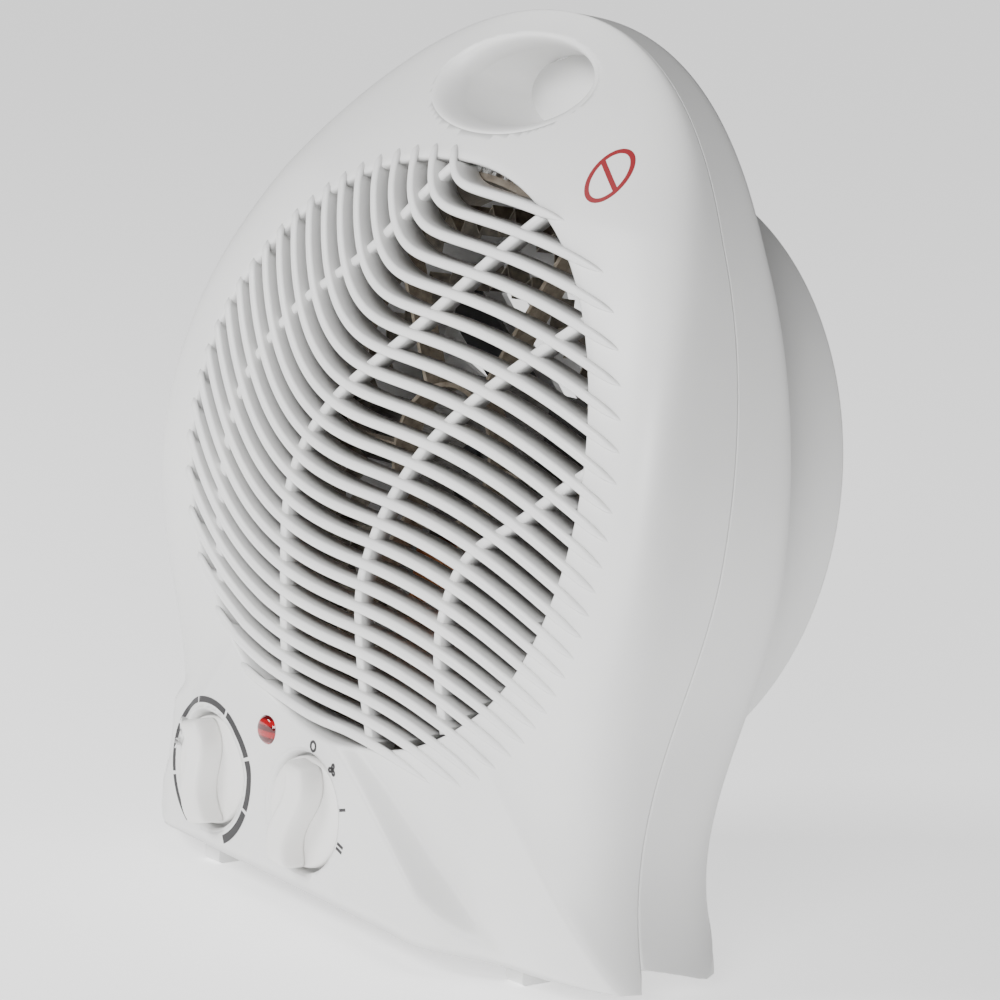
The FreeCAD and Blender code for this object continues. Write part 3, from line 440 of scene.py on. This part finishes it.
def rear_shell(material):
    """Makes the rear casing as one surface from the seam to the inlet.

    Rows run from the seam along a superellipse to the upright rear wall, in to the drum, out along the
    drum, over its rounded edge and in to the inlet.
    """
    columns, rows = 480, 40
    angle = casing_angles(columns)[None, :]
    span = reach(angle)
    stop = ground_stop(angle, rear_face, 0.0)
    fraction, height = edge_rows(span, *rear_powers(angle), DRUM_RADIUS + DRUM_FOOT, stop, rows)
    fraction, height = fraction[::-1], height[::-1]
    x = fraction * span * np.cos(angle)
    z = AXIS_HEIGHT + fraction * span * np.sin(angle)
    wall = (REAR_WALL - z * math.sin(LEAN)) / math.cos(LEAN)
    depth = wall * height
    inside, x, z = snap_to_holes(x, z, [(0.0, HANDLE_HEIGHT, *HANDLE_REAR_MOUTH)])
    depth = np.where(inside, rear_face(x, z), depth + bend(z))
    points = [np.stack([x, depth, z], -1)]

    foot = points[0][-1, :, 1]
    turn = np.linspace(0.0, math.pi / 2, 6)[1:]
    ring_x, ring_z = np.cos(angle[0]), np.sin(angle[0])
    profile = [
        (DRUM_RADIUS + DRUM_FOOT * (1.0 - math.sin(t)), foot + DRUM_FOOT * (1.0 - math.cos(t))) for t in turn
    ]
    profile += [(DRUM_RADIUS, foot + (DRUM_DEPTH - DRUM_ROUND - foot) * part) for part in (0.4, 0.8)]
    rim = DRUM_RADIUS - DRUM_ROUND
    for t in np.linspace(0.0, math.pi / 2, 7):
        level = np.full(columns, DRUM_DEPTH - DRUM_ROUND + DRUM_ROUND * math.sin(t))
        profile.append((rim + DRUM_ROUND * math.cos(t), level))
    profile.append((INLET_RADIUS + 0.6, np.full(columns, DRUM_DEPTH)))
    profile.append((INLET_RADIUS, np.full(columns, DRUM_DEPTH - 0.6)))
    rings = []
    for radius, level in profile:
        rings.append(np.stack([radius * ring_x, level, AXIS_HEIGHT + radius * ring_z], -1))
    points = np.concatenate([points[0], np.stack(rings)])
    inside = np.concatenate([inside, np.zeros((len(rings), columns), bool)])

    faces = quads(len(points), columns)[:, ::-1]
    faces = faces[~inside.ravel()[faces].all(1)]
    return solidify(build("rear_casing_shell", stand(points), faces, material, "housing"), WALL)


def rear_face(x, z):
    """Leaning depth of the rear casing's wall, rounded at the outline like the shell itself."""
    angle = np.arctan2(z - AXIS_HEIGHT, x)
    wall = (REAR_WALL - z * math.sin(LEAN)) / math.cos(LEAN)
    return wall * pillow(np.hypot(x, z - AXIS_HEIGHT) / reach(angle), *rear_powers(angle)) + bend(z)


def handle_passage(material):
    """Makes the handle's passage: an oval tube that opens to both faces in quarter rounds."""
    columns = 240
    turn = casing_angles(columns)
    round_steps = np.linspace(0.0, math.pi / 2, 14)
    sections = []
    ends = ((HANDLE_MOUTH, HANDLE_THROAT, face, 9.0), (HANDLE_REAR_MOUTH, HANDLE_REAR, rear_face, -2.0))
    for mouth, inner, surface, roll in ends:
        edge_x = mouth[0] * np.cos(turn)
        edge_z = HANDLE_HEIGHT + mouth[1] * np.sin(turn)
        level = surface(edge_x, edge_z)
        rings = []
        for t in round_steps:
            half_x = inner[0] + (mouth[0] - inner[0]) * (1.0 - math.sin(t))
            half_z = inner[1] + (mouth[1] - inner[1]) * (1.0 - math.sin(t))
            depth = level + roll * (1.0 - math.cos(t))
            rings.append(np.stack([half_x * np.cos(turn), depth, HANDLE_HEIGHT + half_z * np.sin(turn)], -1))
        sections.append(rings)
    rings = np.stack(sections[0] + sections[1][::-1])
    faces = quads(len(rings), columns)
    return build("handle_passage", stand(rings), faces, material, "housing")


def dial_recess(name, x, mouth, material):
    """Makes a dial's recess: a soft quarter round from the panel down to a wall and a flat floor."""
    columns = 160
    turn = casing_angles(columns)
    centre_x, level_z, half_x, half_z = dial_mouth(x, mouth)
    mouth_x = centre_x + half_x * np.cos(turn)
    mouth_z = level_z + half_z * np.sin(turn)
    inner_x = x + RECESS_RADIUS * np.cos(turn)
    inner_z = level_z + RECESS_RADIUS * np.sin(turn)
    rings = []
    for t in np.linspace(0.0, math.pi / 2, 10):
        ring_x = inner_x + (mouth_x - inner_x) * (1.0 - math.sin(t))
        ring_z = inner_z + (mouth_z - inner_z) * (1.0 - math.sin(t))
        depth = face(mouth_x, mouth_z) + 3.0 * (1.0 - math.cos(t))
        rings.append(np.stack([ring_x, depth, ring_z], -1))
    floor = panel(x + 0.0 * turn, level_z + RECESS_RADIUS * np.sin(turn)) + RECESS_DEPTH
    for radius in (RECESS_RADIUS, RECESS_RADIUS - 0.4, 4.5):
        rings.append(np.stack([x + radius * np.cos(turn), floor, level_z + radius * np.sin(turn)], -1))
    rings = np.stack(rings)
    return build(name, stand(rings), quads(len(rings), columns), material, "housing")


# ---------------------------------------------------------------- front grille

def louvre_height(x, index):
    """Height of a louvre's line: level, a parabolic droop to the right and a soft bend up to the left."""
    level = 209.2 - 7.28 * index + 0.031 * index**2
    curl = -1.9 - 4.93 * index + 0.0727 * index**2
    steepness = 2.345 - 0.0153 * index - 0.0005 * index**2
    softness = 3.92 + 0.863 * index
    droop = (0.00158 + 0.00007 * index) * np.maximum(x + 1.9, 0.0) ** 2
    return level - droop + steepness * softness * np.logaddexp(0.0, (curl - x) / softness)


def overrun(angle):
    """How far a louvre runs past the opening: a little at the left and top, far at the lower right."""
    degrees = np.degrees(angle)
    right = smooth_step((75.0 - np.abs(degrees + 8.0)) / 30.0)
    falling = 12.5 - 0.07 * degrees
    top = 3.4 * np.exp(-(((degrees - 108.0) / 34.0) ** 2))
    return 1.8 + top + right * (falling - 1.8)


def strip_sections(x, z, width, front, depth, around=12):
    """Carries a round-nosed strip along a line: at each point a U-shaped ring across the line.

    The nose is half an ellipse 0.9 mm deep and the flanks run straight back.
    """
    dx, dz = np.gradient(x), np.gradient(z)
    length = np.hypot(dx, dz)
    side_x, side_z = -dz / length, dx / length
    nose = np.linspace(0.0, math.pi, around)
    across = np.concatenate([np.cos(nose), [-1.0, 1.0]]) / 2.0
    back = np.concatenate([1.0 - np.sin(nose), [0.0, 0.0]])
    sunk = np.concatenate([np.zeros(around), [1.0, 1.0]])
    wide = across[None, :] * width[:, None]
    level = front[:, None] + 0.9 * back[None, :] + sunk[None, :] * depth[:, None]
    return np.stack([x[:, None] + side_x[:, None] * wide, level, z[:, None] + side_z[:, None] * wide], -1)


def louvre_line(index):
    """Traces one louvre between its tips, evenly along its length."""
    x = np.linspace(-100.0, 100.0, 4000)
    z = louvre_height(x, index)
    angle = np.arctan2(z - AXIS_HEIGHT, x)
    past = np.hypot(x, z - AXIS_HEIGHT) - GRILLE_RADIUS - overrun(angle)
    x, z = x[past < 0.0], z[past < 0.0]
    run = np.concatenate([[0.0], np.cumsum(np.hypot(np.diff(x), np.diff(z)))])
    even = np.linspace(0.0, run[-1], 90)
    return np.interp(even, run, x), np.interp(even, run, z)


def louvres(material):
    """Makes the louvres: each rides just proud of the casing's face and thins into it past the opening."""
    strips = []
    for index in range(LOUVRES):
        x, z = louvre_line(index)
        outside = np.hypot(x, z - AXIS_HEIGHT) - GRILLE_RADIUS
        angle = np.arctan2(z - AXIS_HEIGHT, x)
        fade = np.clip(outside / overrun(angle), 0.0, 1.0)
        width = LOUVRE_WIDTH * (1.0 - 0.75 * fade**3)
        front = face(x, z) - LOUVRE_PROUD + 1.35 * fade**6
        depth = np.where(outside > -1.0, TAIL_DEPTH, LOUVRE_DEPTH)
        strips.append(strip_sections(x, z, width, front, depth))
    return join_sweeps("front_louvres", strips, stand, material, smooth=True)


def cross_ribs(material):
    """Makes the four cross ribs: smooth lines from the upper right that bend upright, behind the louvres."""
    lines = [
        [(10, 230), (-3, 215), (-22, 189), (-48, 167), (-64, 143), (-67, 114), (-62, 73)],
        [(58, 223), (39, 205), (7, 171), (-24, 143), (-36, 118), (-32, 83), (-24, 43)],
        [(92, 201), (67, 179), (30, 149), (11, 126), (1, 100), (3, 78), (14, 41)],
        [(102, 155), (81, 140), (62, 125), (43, 111), (36, 94), (37, 77), (46, 48)],
    ]
    strips = []
    for line in lines:
        knots = np.array(line, float)
        x, z = smooth_line(knots, 120)
        within = np.hypot(x, z - AXIS_HEIGHT) < GRILLE_RADIUS + 0.5
        x, z = x[within], z[within]
        count = len(x)
        front = face(x, z) + RIB_SUNK
        strips.append(strip_sections(x, z, np.full(count, RIB_WIDTH), front, np.full(count, RIB_DEPTH)))
    return join_sweeps("grille_ribs", strips, stand, material, smooth=True)


def smooth_line(knots, count):
    """Draws a line through knots by Hermite pieces whose slopes are half the step between neighbours."""
    slope = np.gradient(knots, axis=0)
    t = np.linspace(0.0, len(knots) - 1.0, count)
    i = np.minimum(t.astype(int), len(knots) - 2)
    u = (t - i)[:, None]
    blend = (2 * u**3 - 3 * u**2 + 1) * knots[i] + (3 * u**2 - 2 * u**3) * knots[i + 1]
    blend = blend + (u**3 - 2 * u**2 + u) * slope[i] + (u**3 - u**2) * slope[i + 1]
    return blend[:, 0], blend[:, 1]


# ---------------------------------------------------------------- knobs, lamp and printed marks

def lathe(profile, columns=96):
    """Turns a profile of radius and depth about the y axis; a radius of 0 closes a pole."""
    turn = casing_angles(columns)
    radius, depth = np.array(profile, float).T
    x = radius[:, None] * np.cos(turn)
    z = radius[:, None] * np.sin(turn)
    return np.stack([x, np.broadcast_to(depth[:, None], x.shape), z], -1)


def knob(name, x, front, turn, body, material):
    """Makes a dial knob: a turned disc with a soft edge and an S-shaped grip across it.

    The grip is a half superellipsoid: its length, width and height all follow a superellipse, and its
    middle line is bent by one sine wave.
    """
    profile = [(0.0, 6.0), (15.6, 6.0), (16.0, 5.6), (16.0, 1.2)]
    profile += [(15.85, 0.6), (15.4, 0.15), (14.6, 0.0), (0.0, -0.6)]
    disc = lathe(profile)
    disc_faces = quads(len(profile), disc.shape[1])
    t = np.linspace(-math.pi / 2, math.pi / 2, 48)[:, None]
    p = np.linspace(0.0, math.pi, 28)[None, :]
    end_size = (np.abs(np.cos(t)) ** 11 + np.abs(np.sin(t)) ** 11) ** (-1.0 / 11)
    ring_size = (np.abs(np.cos(p)) ** 7 + np.abs(np.sin(p)) ** 7) ** (-1.0 / 7)
    along = GRIP_HALF_LENGTH * end_size * np.sin(t)
    shrink = end_size * np.cos(t)
    flare = 1.0 + 0.1 * (1.0 - ring_size * np.sin(p))
    wave = GRIP_WAVE * np.sin(along / GRIP_HALF_LENGTH * math.pi)
    across = GRIP_HALF_WIDTH * shrink * flare * ring_size * np.cos(p) + wave
    height = -0.2 - GRIP_HEIGHT * shrink * ring_size * np.sin(p)
    c, s = math.cos(turn), math.sin(turn)
    grip = np.stack([across * c + along * s, height, along * c - across * s], -1)
    faces = quads(*grip.shape[:2])
    disc = disc.reshape(-1, 3)
    points = np.concatenate([disc, grip.reshape(-1, 3)])
    points = upright(points + [x, front, DIAL_HEIGHT])
    cells = np.concatenate([disc_faces, faces + len(disc)])
    return build(name, points, cells, material, body)


def lamp_lens(material):
    """Makes the neon lamp's lens: a shallow turned dome with a narrow rim."""
    profile = [(0.0, 3.0), (3.4, 3.0), (3.5, 0.2), (4.2, 0.1), (4.3, -0.2), (4.15, -0.5), (3.8, -0.75)]
    for t in np.linspace(0.25, math.pi / 2, 8)[:-1]:
        profile.append((3.8 * math.cos(t), -0.75 - math.sin(t)))
    profile.append((0.0, -1.75))
    dome = lathe(profile, 64)
    surface = THERMOSTAT_FACE + PAD_SLOPE * (LAMP_X - THERMOSTAT_X)
    points = upright(dome + [LAMP_X, surface, LAMP_HEIGHT])
    return build("lamp_lens_dome", points, quads(len(profile), 64), material, "housing")


def ribbon(x, z, width, surface):
    """Makes a thin printed line on a surface: a flat ring of four points carried along the line."""
    dx, dz = np.gradient(x), np.gradient(z)
    length = np.hypot(dx, dz)
    half_x, half_z = -dz / length * width / 2, dx / length * width / 2
    edge_x = np.stack([x - half_x, x + half_x, x + half_x, x - half_x], 1)
    edge_z = np.stack([z - half_z, z + half_z, z + half_z, z - half_z], 1)
    depth = surface(edge_x, edge_z) + np.array([-INK_PROUD, -INK_PROUD, INK_SUNK, INK_SUNK])
    return np.stack([edge_x, depth, edge_z], -1)


def face_under(x, upright_z):
    """Upright depth of the face at an upright height: the leaning face, met by three steps of closing in."""
    depth = THERMOSTAT_FACE + PAD_SLOPE * (x - THERMOSTAT_X)
    for _ in range(3):
        leaning_z = upright_z * math.cos(LEAN) + depth * math.sin(LEAN)
        depth = face(x, leaning_z) * math.cos(LEAN) + leaning_z * math.sin(LEAN)
    return depth


def join_sweeps(name, strips, place, material, smooth=False):
    """Builds several swept strips as one piece, placed by stand or upright."""
    cells, points, ends, offset = [], [], [], 0
    for sections in strips:
        faces, caps = sweep(sections)
        cells.append(faces + offset)
        ends += [cap + offset for cap in caps]
        points.append(sections.reshape(-1, 3))
        offset += len(points[-1])
    points, cells = place(np.concatenate(points)), np.concatenate(cells)
    return build(name, points, cells, material, "housing", smooth, ends)


def thermostat_scale(material):
    """Prints the thermostat's scale: seven arcs that grow thicker clockwise from the lower left."""
    strips = []
    for part in range(7):
        begin = SCALE_START + SCALE_STEP * part
        clock = np.radians(np.linspace(begin, begin + SCALE_STEP - SCALE_BREAK, 24))
        width = 1.2 + 1.4 * (clock - math.radians(SCALE_START)) / math.radians(300.0)
        x = THERMOSTAT_X + SCALE_RADIUS * np.sin(clock)
        z = DIAL_HEIGHT + SCALE_RADIUS * np.cos(clock)
        strips.append(ribbon(x, z, width, face_under))
    return join_sweeps("thermostat_scale", strips, upright, material)


def selector_marks(material):
    """Prints the selector's marks round its dial: a ring, a fan, one bar and two bars."""
    strips = []
    for kind, clock in (("ring", 6.0), ("fan", 39.0), ("one", 74.0), ("two", 106.0)):
        a = math.radians(clock)
        middle_x = SELECTOR_X + MARK_RADIUS * math.sin(a)
        middle_z = DIAL_HEIGHT + MARK_RADIUS * math.cos(a)
        if kind == "ring":
            t = np.linspace(0.0, 2.0 * math.pi, 25)
            lines = [(1.25 * np.cos(t), 1.35 * np.sin(t), 0.8)]
        elif kind == "fan":
            swing = np.linspace(0.0, 1.7, 12)
            radius = 1.6 * np.sin(swing * math.pi / 1.7) + 0.12
            blades = (0.4, 2.5, 4.6)
            lines = [
                (radius * np.cos(blade + swing), radius * np.sin(blade + swing), 0.75) for blade in blades
            ]
        else:
            along = np.linspace(-1.5, 1.5, 4)
            shifts = (0.0,) if kind == "one" else (-0.75, 0.75)
            lines = [
                (along * math.sin(a) + shift * math.cos(a), along * math.cos(a) - shift * math.sin(a), 0.85)
                for shift in shifts
            ]
        for x, z, width in lines:
            strips.append(ribbon(middle_x + x, middle_z + z, width, face_under))
    return join_sweeps("selector_marks", strips, upright, material)


def round_sign(material):
    """Prints a plain ring with one slanting bar on the face."""
    t = np.linspace(0.0, 2.0 * math.pi, 81)
    bar = np.linspace(-1.0, 1.0, 20)
    slant = math.radians(31.0)
    half_x, half_z = 0.8 * SIGN_RADIUS, SIGN_RADIUS
    strips = [
        ribbon(SIGN_X + half_x * np.cos(t), SIGN_Z + half_z * np.sin(t), SIGN_LINE, face),
        ribbon(
            SIGN_X - half_x * math.cos(slant) * bar, SIGN_Z + half_z * math.sin(slant) * bar, SIGN_LINE, face
        ),
    ]
    return join_sweeps("round_sign", strips, stand, material)


# ---------------------------------------------------------------- materials

def node_material(name, colour, roughness, metallic=0.0, coat=0.0, specular=0.5):
    """Starts a material: a shader with constants on its own sockets, and Object coordinates."""
    material = bpy.data.materials.new(name)
    material.use_nodes = True
    tree = material.node_tree
    shader = tree.nodes["Principled BSDF"]
    shader.inputs["Base Color"].default_value = (*colour, 1.0)
    shader.inputs["Roughness"].default_value = roughness
    shader.inputs["Metallic"].default_value = metallic
    shader.inputs["Coat Weight"].default_value = coat
    shader.inputs["Specular IOR Level"].default_value = specular
    place = tree.nodes.new("ShaderNodeTexCoord")
    return material, tree, shader, place.outputs["Object"]


def noise(tree, place, scale, detail=3.0, stretch=None):
    """Adds a noise pattern in metres-based Object coordinates, stretched along an axis if asked."""
    if stretch:
        mapping = tree.nodes.new("ShaderNodeMapping")
        mapping.inputs["Scale"].default_value = stretch
        tree.links.new(place, mapping.inputs["Vector"])
        place = mapping.outputs["Vector"]
    texture = tree.nodes.new("ShaderNodeTexNoise")
    texture.inputs["Scale"].default_value = scale
    texture.inputs["Detail"].default_value = detail
    tree.links.new(place, texture.inputs["Vector"])
    return texture.outputs["Fac"]


def vary_colour(tree, shader, pattern, dark, light):
    """Mixes two close colours by a pattern."""
    ramp = tree.nodes.new("ShaderNodeValToRGB")
    ramp.color_ramp.elements[0].position = 0.3
    ramp.color_ramp.elements[0].color = (*dark, 1.0)
    ramp.color_ramp.elements[1].position = 0.7
    ramp.color_ramp.elements[1].color = (*light, 1.0)
    tree.links.new(pattern, ramp.inputs["Fac"])
    tree.links.new(ramp.outputs["Color"], shader.inputs["Base Color"])


def vary_roughness(tree, shader, pattern, low, high):
    """Spreads roughness between two values by a pattern."""
    spread = tree.nodes.new("ShaderNodeMapRange")
    spread.inputs["To Min"].default_value = low
    spread.inputs["To Max"].default_value = high
    tree.links.new(pattern, spread.inputs["Value"])
    tree.links.new(spread.outputs["Result"], shader.inputs["Roughness"])


def bump(tree, shader, pattern, strength, distance):
    """Raises fine relief from a pattern."""
    relief = tree.nodes.new("ShaderNodeBump")
    relief.inputs["Strength"].default_value = strength
    relief.inputs["Distance"].default_value = distance
    tree.links.new(pattern, relief.inputs["Height"])
    tree.links.new(relief.outputs["Normal"], shader.inputs["Normal"])


def moulded_plastic(name, dark, light, roughness, grain=2600.0, strength=0.12):
    """Makes a moulded plastic: broad faint clouding, a fine spark-eroded grain and uneven gloss."""
    material, tree, shader, place = node_material(name, light, roughness)
    vary_colour(tree, shader, noise(tree, place, 22.0, 4.0), dark, light)
    vary_roughness(tree, shader, noise(tree, place, 60.0), roughness - 0.05, roughness + 0.07)
    bump(tree, shader, noise(tree, place, grain, 2.0), strength, 0.00012)
    return material


def metal(name, dark, light, roughness, stretch=None, scale=300.0):
    """Makes a metal with brushed or mottled colour and gloss."""
    material, tree, shader, place = node_material(name, light, roughness, metallic=1.0)
    pattern = noise(tree, place, scale, 4.0, stretch)
    vary_colour(tree, shader, pattern, dark, light)
    vary_roughness(tree, shader, pattern, roughness - 0.1, roughness + 0.12)
    bump(tree, shader, pattern, 0.15, 0.0001)
    return material


def lens_red():
    """Makes the red lens: glossy see-through plastic with darker moulded bars behind it."""
    material, tree, shader, place = node_material("lens_red", (0.36, 0.003, 0.008), 0.12, coat=0.6)
    bars = tree.nodes.new("ShaderNodeTexWave")
    bars.bands_direction = "Z"
    bars.inputs["Scale"].default_value = 95.0
    bars.inputs["Distortion"].default_value = 0.4
    tree.links.new(place, bars.inputs["Vector"])
    vary_colour(tree, shader, bars.outputs["Fac"], (0.1, 0.001, 0.003), (0.42, 0.004, 0.01))
    shader.inputs["Transmission Weight"].default_value = 0.25
    return material


def mica_sheet():
    """Makes mica board: pale grey-brown flakes with a slight pearl gloss."""
    material, tree, shader, place = node_material("mica_sheet", (0.42, 0.36, 0.28), 0.45, coat=0.3)
    vary_colour(tree, shader, noise(tree, place, 420.0, 6.0), (0.28, 0.23, 0.17), (0.5, 0.43, 0.34))
    bump(tree, shader, noise(tree, place, 700.0, 5.0), 0.3, 0.0001)
    return material


def make_materials():
    """Makes each finish once."""
    return {
        "casing": moulded_plastic("white_plastic", (0.74, 0.74, 0.735), (0.79, 0.79, 0.78), 0.38),
        "knob": moulded_plastic("knob_plastic", (0.78, 0.77, 0.75), (0.84, 0.835, 0.82), 0.34),
        "lamp_red": lens_red(),
        "sign_ink": moulded_plastic("red_ink", (0.2, 0.0, 0.004), (0.25, 0.0, 0.006), 0.5),
        "mark_ink": moulded_plastic("black_ink", (0.016, 0.015, 0.016), (0.03, 0.028, 0.03), 0.5),
        "lamp_glass": moulded_plastic("lamp_glass", (0.7, 0.62, 0.55), (0.8, 0.72, 0.66), 0.12),
        "black_plastic": moulded_plastic("black_plastic", (0.018, 0.018, 0.02), (0.035, 0.035, 0.038), 0.42),
        "control_plastic": moulded_plastic("control_plastic", (0.05, 0.045, 0.04), (0.09, 0.08, 0.07), 0.5),
        # the duct steel's dark brownish colour is painted shade for the shadow inside the casing
        "painted_shade_duct_steel": metal("painted_shade_duct_steel", (0.2, 0.17, 0.14), (0.34, 0.3, 0.25), 0.5, (1.0, 12.0, 1.0)),
        "sheet_steel": metal("sheet_steel", (0.42, 0.42, 0.43), (0.6, 0.6, 0.62), 0.36, (1.0, 1.0, 14.0)),
        "screw_steel": metal("screw_steel", (0.5, 0.5, 0.5), (0.68, 0.68, 0.66), 0.3),
        "lamination": metal("lamination", (0.16, 0.155, 0.15), (0.3, 0.29, 0.28), 0.5, (1.0, 60.0, 1.0)),
        "copper": metal("copper", (0.5, 0.19, 0.08), (0.78, 0.36, 0.18), 0.35, (40.0, 1.0, 1.0)),
        "mica": mica_sheet(),
        "resistance_wire": metal("resistance_wire", (0.3, 0.27, 0.23), (0.55, 0.5, 0.42), 0.35),
        "aluminium": metal("aluminium", (0.6, 0.6, 0.6), (0.8, 0.8, 0.81), 0.32, (1.0, 30.0, 1.0)),
        "rubber": moulded_plastic("rubber", (0.03, 0.03, 0.03), (0.05, 0.05, 0.05), 0.75),
    }


def dress_frame(materials):
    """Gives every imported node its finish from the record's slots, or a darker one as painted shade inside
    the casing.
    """
    for part in frame["record"]["subparts"]:
        mesh = frame["nodes"][part["node"]].data
        mesh.materials.clear()
        mesh.materials.append(materials[PAINTED_SHADE_FINISH.get(part["node"], part["material_slot"])])


# ---------------------------------------------------------------- stage

CAMERA_TARGET = (30.8 * MM, -SETBACK * MM, 126.56 * MM)
CAMERA_TURN = math.radians(47.86)
CAMERA_RISE = math.radians(9.49)
CAMERA_ROLL = math.radians(4.77)
CAMERA_DISTANCE = 1.0755
CAMERA_LENS = 140.1
FLOOR_HALF = 40.0


def add_camera():
    """Places the camera to the right of the front, a little above, slightly rolled, with a long lens."""
    back = Vector(
        (
            math.sin(CAMERA_TURN) * math.cos(CAMERA_RISE),
            -math.cos(CAMERA_TURN) * math.cos(CAMERA_RISE),
            math.sin(CAMERA_RISE),
        )
    )
    side = Vector((0.0, 0.0, 1.0)).cross(back).normalized()
    upwards = back.cross(side)
    right = side * math.cos(CAMERA_ROLL) + upwards * math.sin(CAMERA_ROLL)
    top = upwards * math.cos(CAMERA_ROLL) - side * math.sin(CAMERA_ROLL)
    pose = Matrix((right, top, back)).transposed().to_4x4()
    pose.translation = Vector(CAMERA_TARGET) + back * CAMERA_DISTANCE
    data = bpy.data.cameras.new("camera")
    data.sensor_width = 36.0
    data.lens = CAMERA_LENS
    camera = bpy.data.objects.new("camera", data)
    camera.matrix_world = pose
    bpy.context.scene.collection.objects.link(camera)
    bpy.context.scene.camera = camera


def add_light(name, place, size, power, aim=(0.0, 0.0, 0.13)):
    """Adds a soft square light that looks at the heater."""
    data = bpy.data.lights.new(name, "AREA")
    data.size = size
    data.energy = power
    light = bpy.data.objects.new(name, data)
    light.location = place
    light.rotation_mode = "QUATERNION"
    light.rotation_quaternion = (Vector(place) - Vector(aim)).to_track_quat("Z", "Y")
    bpy.context.scene.collection.objects.link(light)


def add_stage():
    """Makes the plain pale floor, the soft lights and the pale surroundings."""
    corners = [(FLOOR_HALF * x, FLOOR_HALF * y, 0.0) for x, y in ((-1, -1), (1, -1), (1, 1), (-1, 1))]
    mesh = bpy.data.meshes.new("floor")
    mesh.from_pydata(corners, [], [(0, 1, 2, 3)])
    paper = moulded_plastic("floor_paper", (0.88, 0.88, 0.88), (0.9, 0.9, 0.9), 0.8, 900.0, 0.05)
    shader = paper.node_tree.nodes["Principled BSDF"]
    shader.inputs["Emission Color"].default_value = (1.0, 1.0, 1.0, 1.0)
    shader.inputs["Emission Strength"].default_value = 1.15
    mesh.materials.append(paper)
    floor = bpy.data.objects.new("floor", mesh)
    bpy.context.scene.collection.objects.link(floor)
    add_light("key", (-0.7, -1.5, 1.2), 0.7, 34.0)
    add_light("fill", (1.15, -1.75, 0.8), 0.8, 36.0)
    world = bpy.data.worlds.new("surroundings")
    world.use_nodes = True
    world.node_tree.nodes["Background"].inputs["Color"].default_value = (1.0, 1.0, 1.0, 1.0)
    world.node_tree.nodes["Background"].inputs["Strength"].default_value = 0.12
    bpy.context.scene.world = world


# ---------------------------------------------------------------- the heater

def main():
    """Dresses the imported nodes, makes the visible mouldings and sets the stage."""
    materials = make_materials()
    dress_frame(materials)
    white = materials["casing"]
    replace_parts(front_shell(white), "front_casing")
    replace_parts(dial_recess("thermostat_recess", THERMOSTAT_X, THERMOSTAT_MOUTH, white), "front_casing")
    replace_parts(dial_recess("selector_recess", SELECTOR_X, SELECTOR_MOUTH, white), "front_casing")
    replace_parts(rear_shell(white), "rear_casing")
    handle_passage(white)
    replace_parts(louvres(white), "front_grille")
    cross_ribs(white)
    dials = (
        ("thermostat", THERMOSTAT_X, THERMOSTAT_FACE, THERMOSTAT_TURN),
        ("selector", SELECTOR_X, SELECTOR_FACE, SELECTOR_TURN),
    )
    for dial, x, front, turn in dials:
        piece = knob(dial + "_knob_moulding", x, front, turn, dial + "_dial", materials["knob"])
        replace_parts(piece, dial + "_knob")
    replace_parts(lamp_lens(materials["lamp_red"]), "lamp_lens")
    thermostat_scale(materials["mark_ink"])
    selector_marks(materials["mark_ink"])
    round_sign(materials["sign_ink"])
    add_stage()
    add_camera()


main()
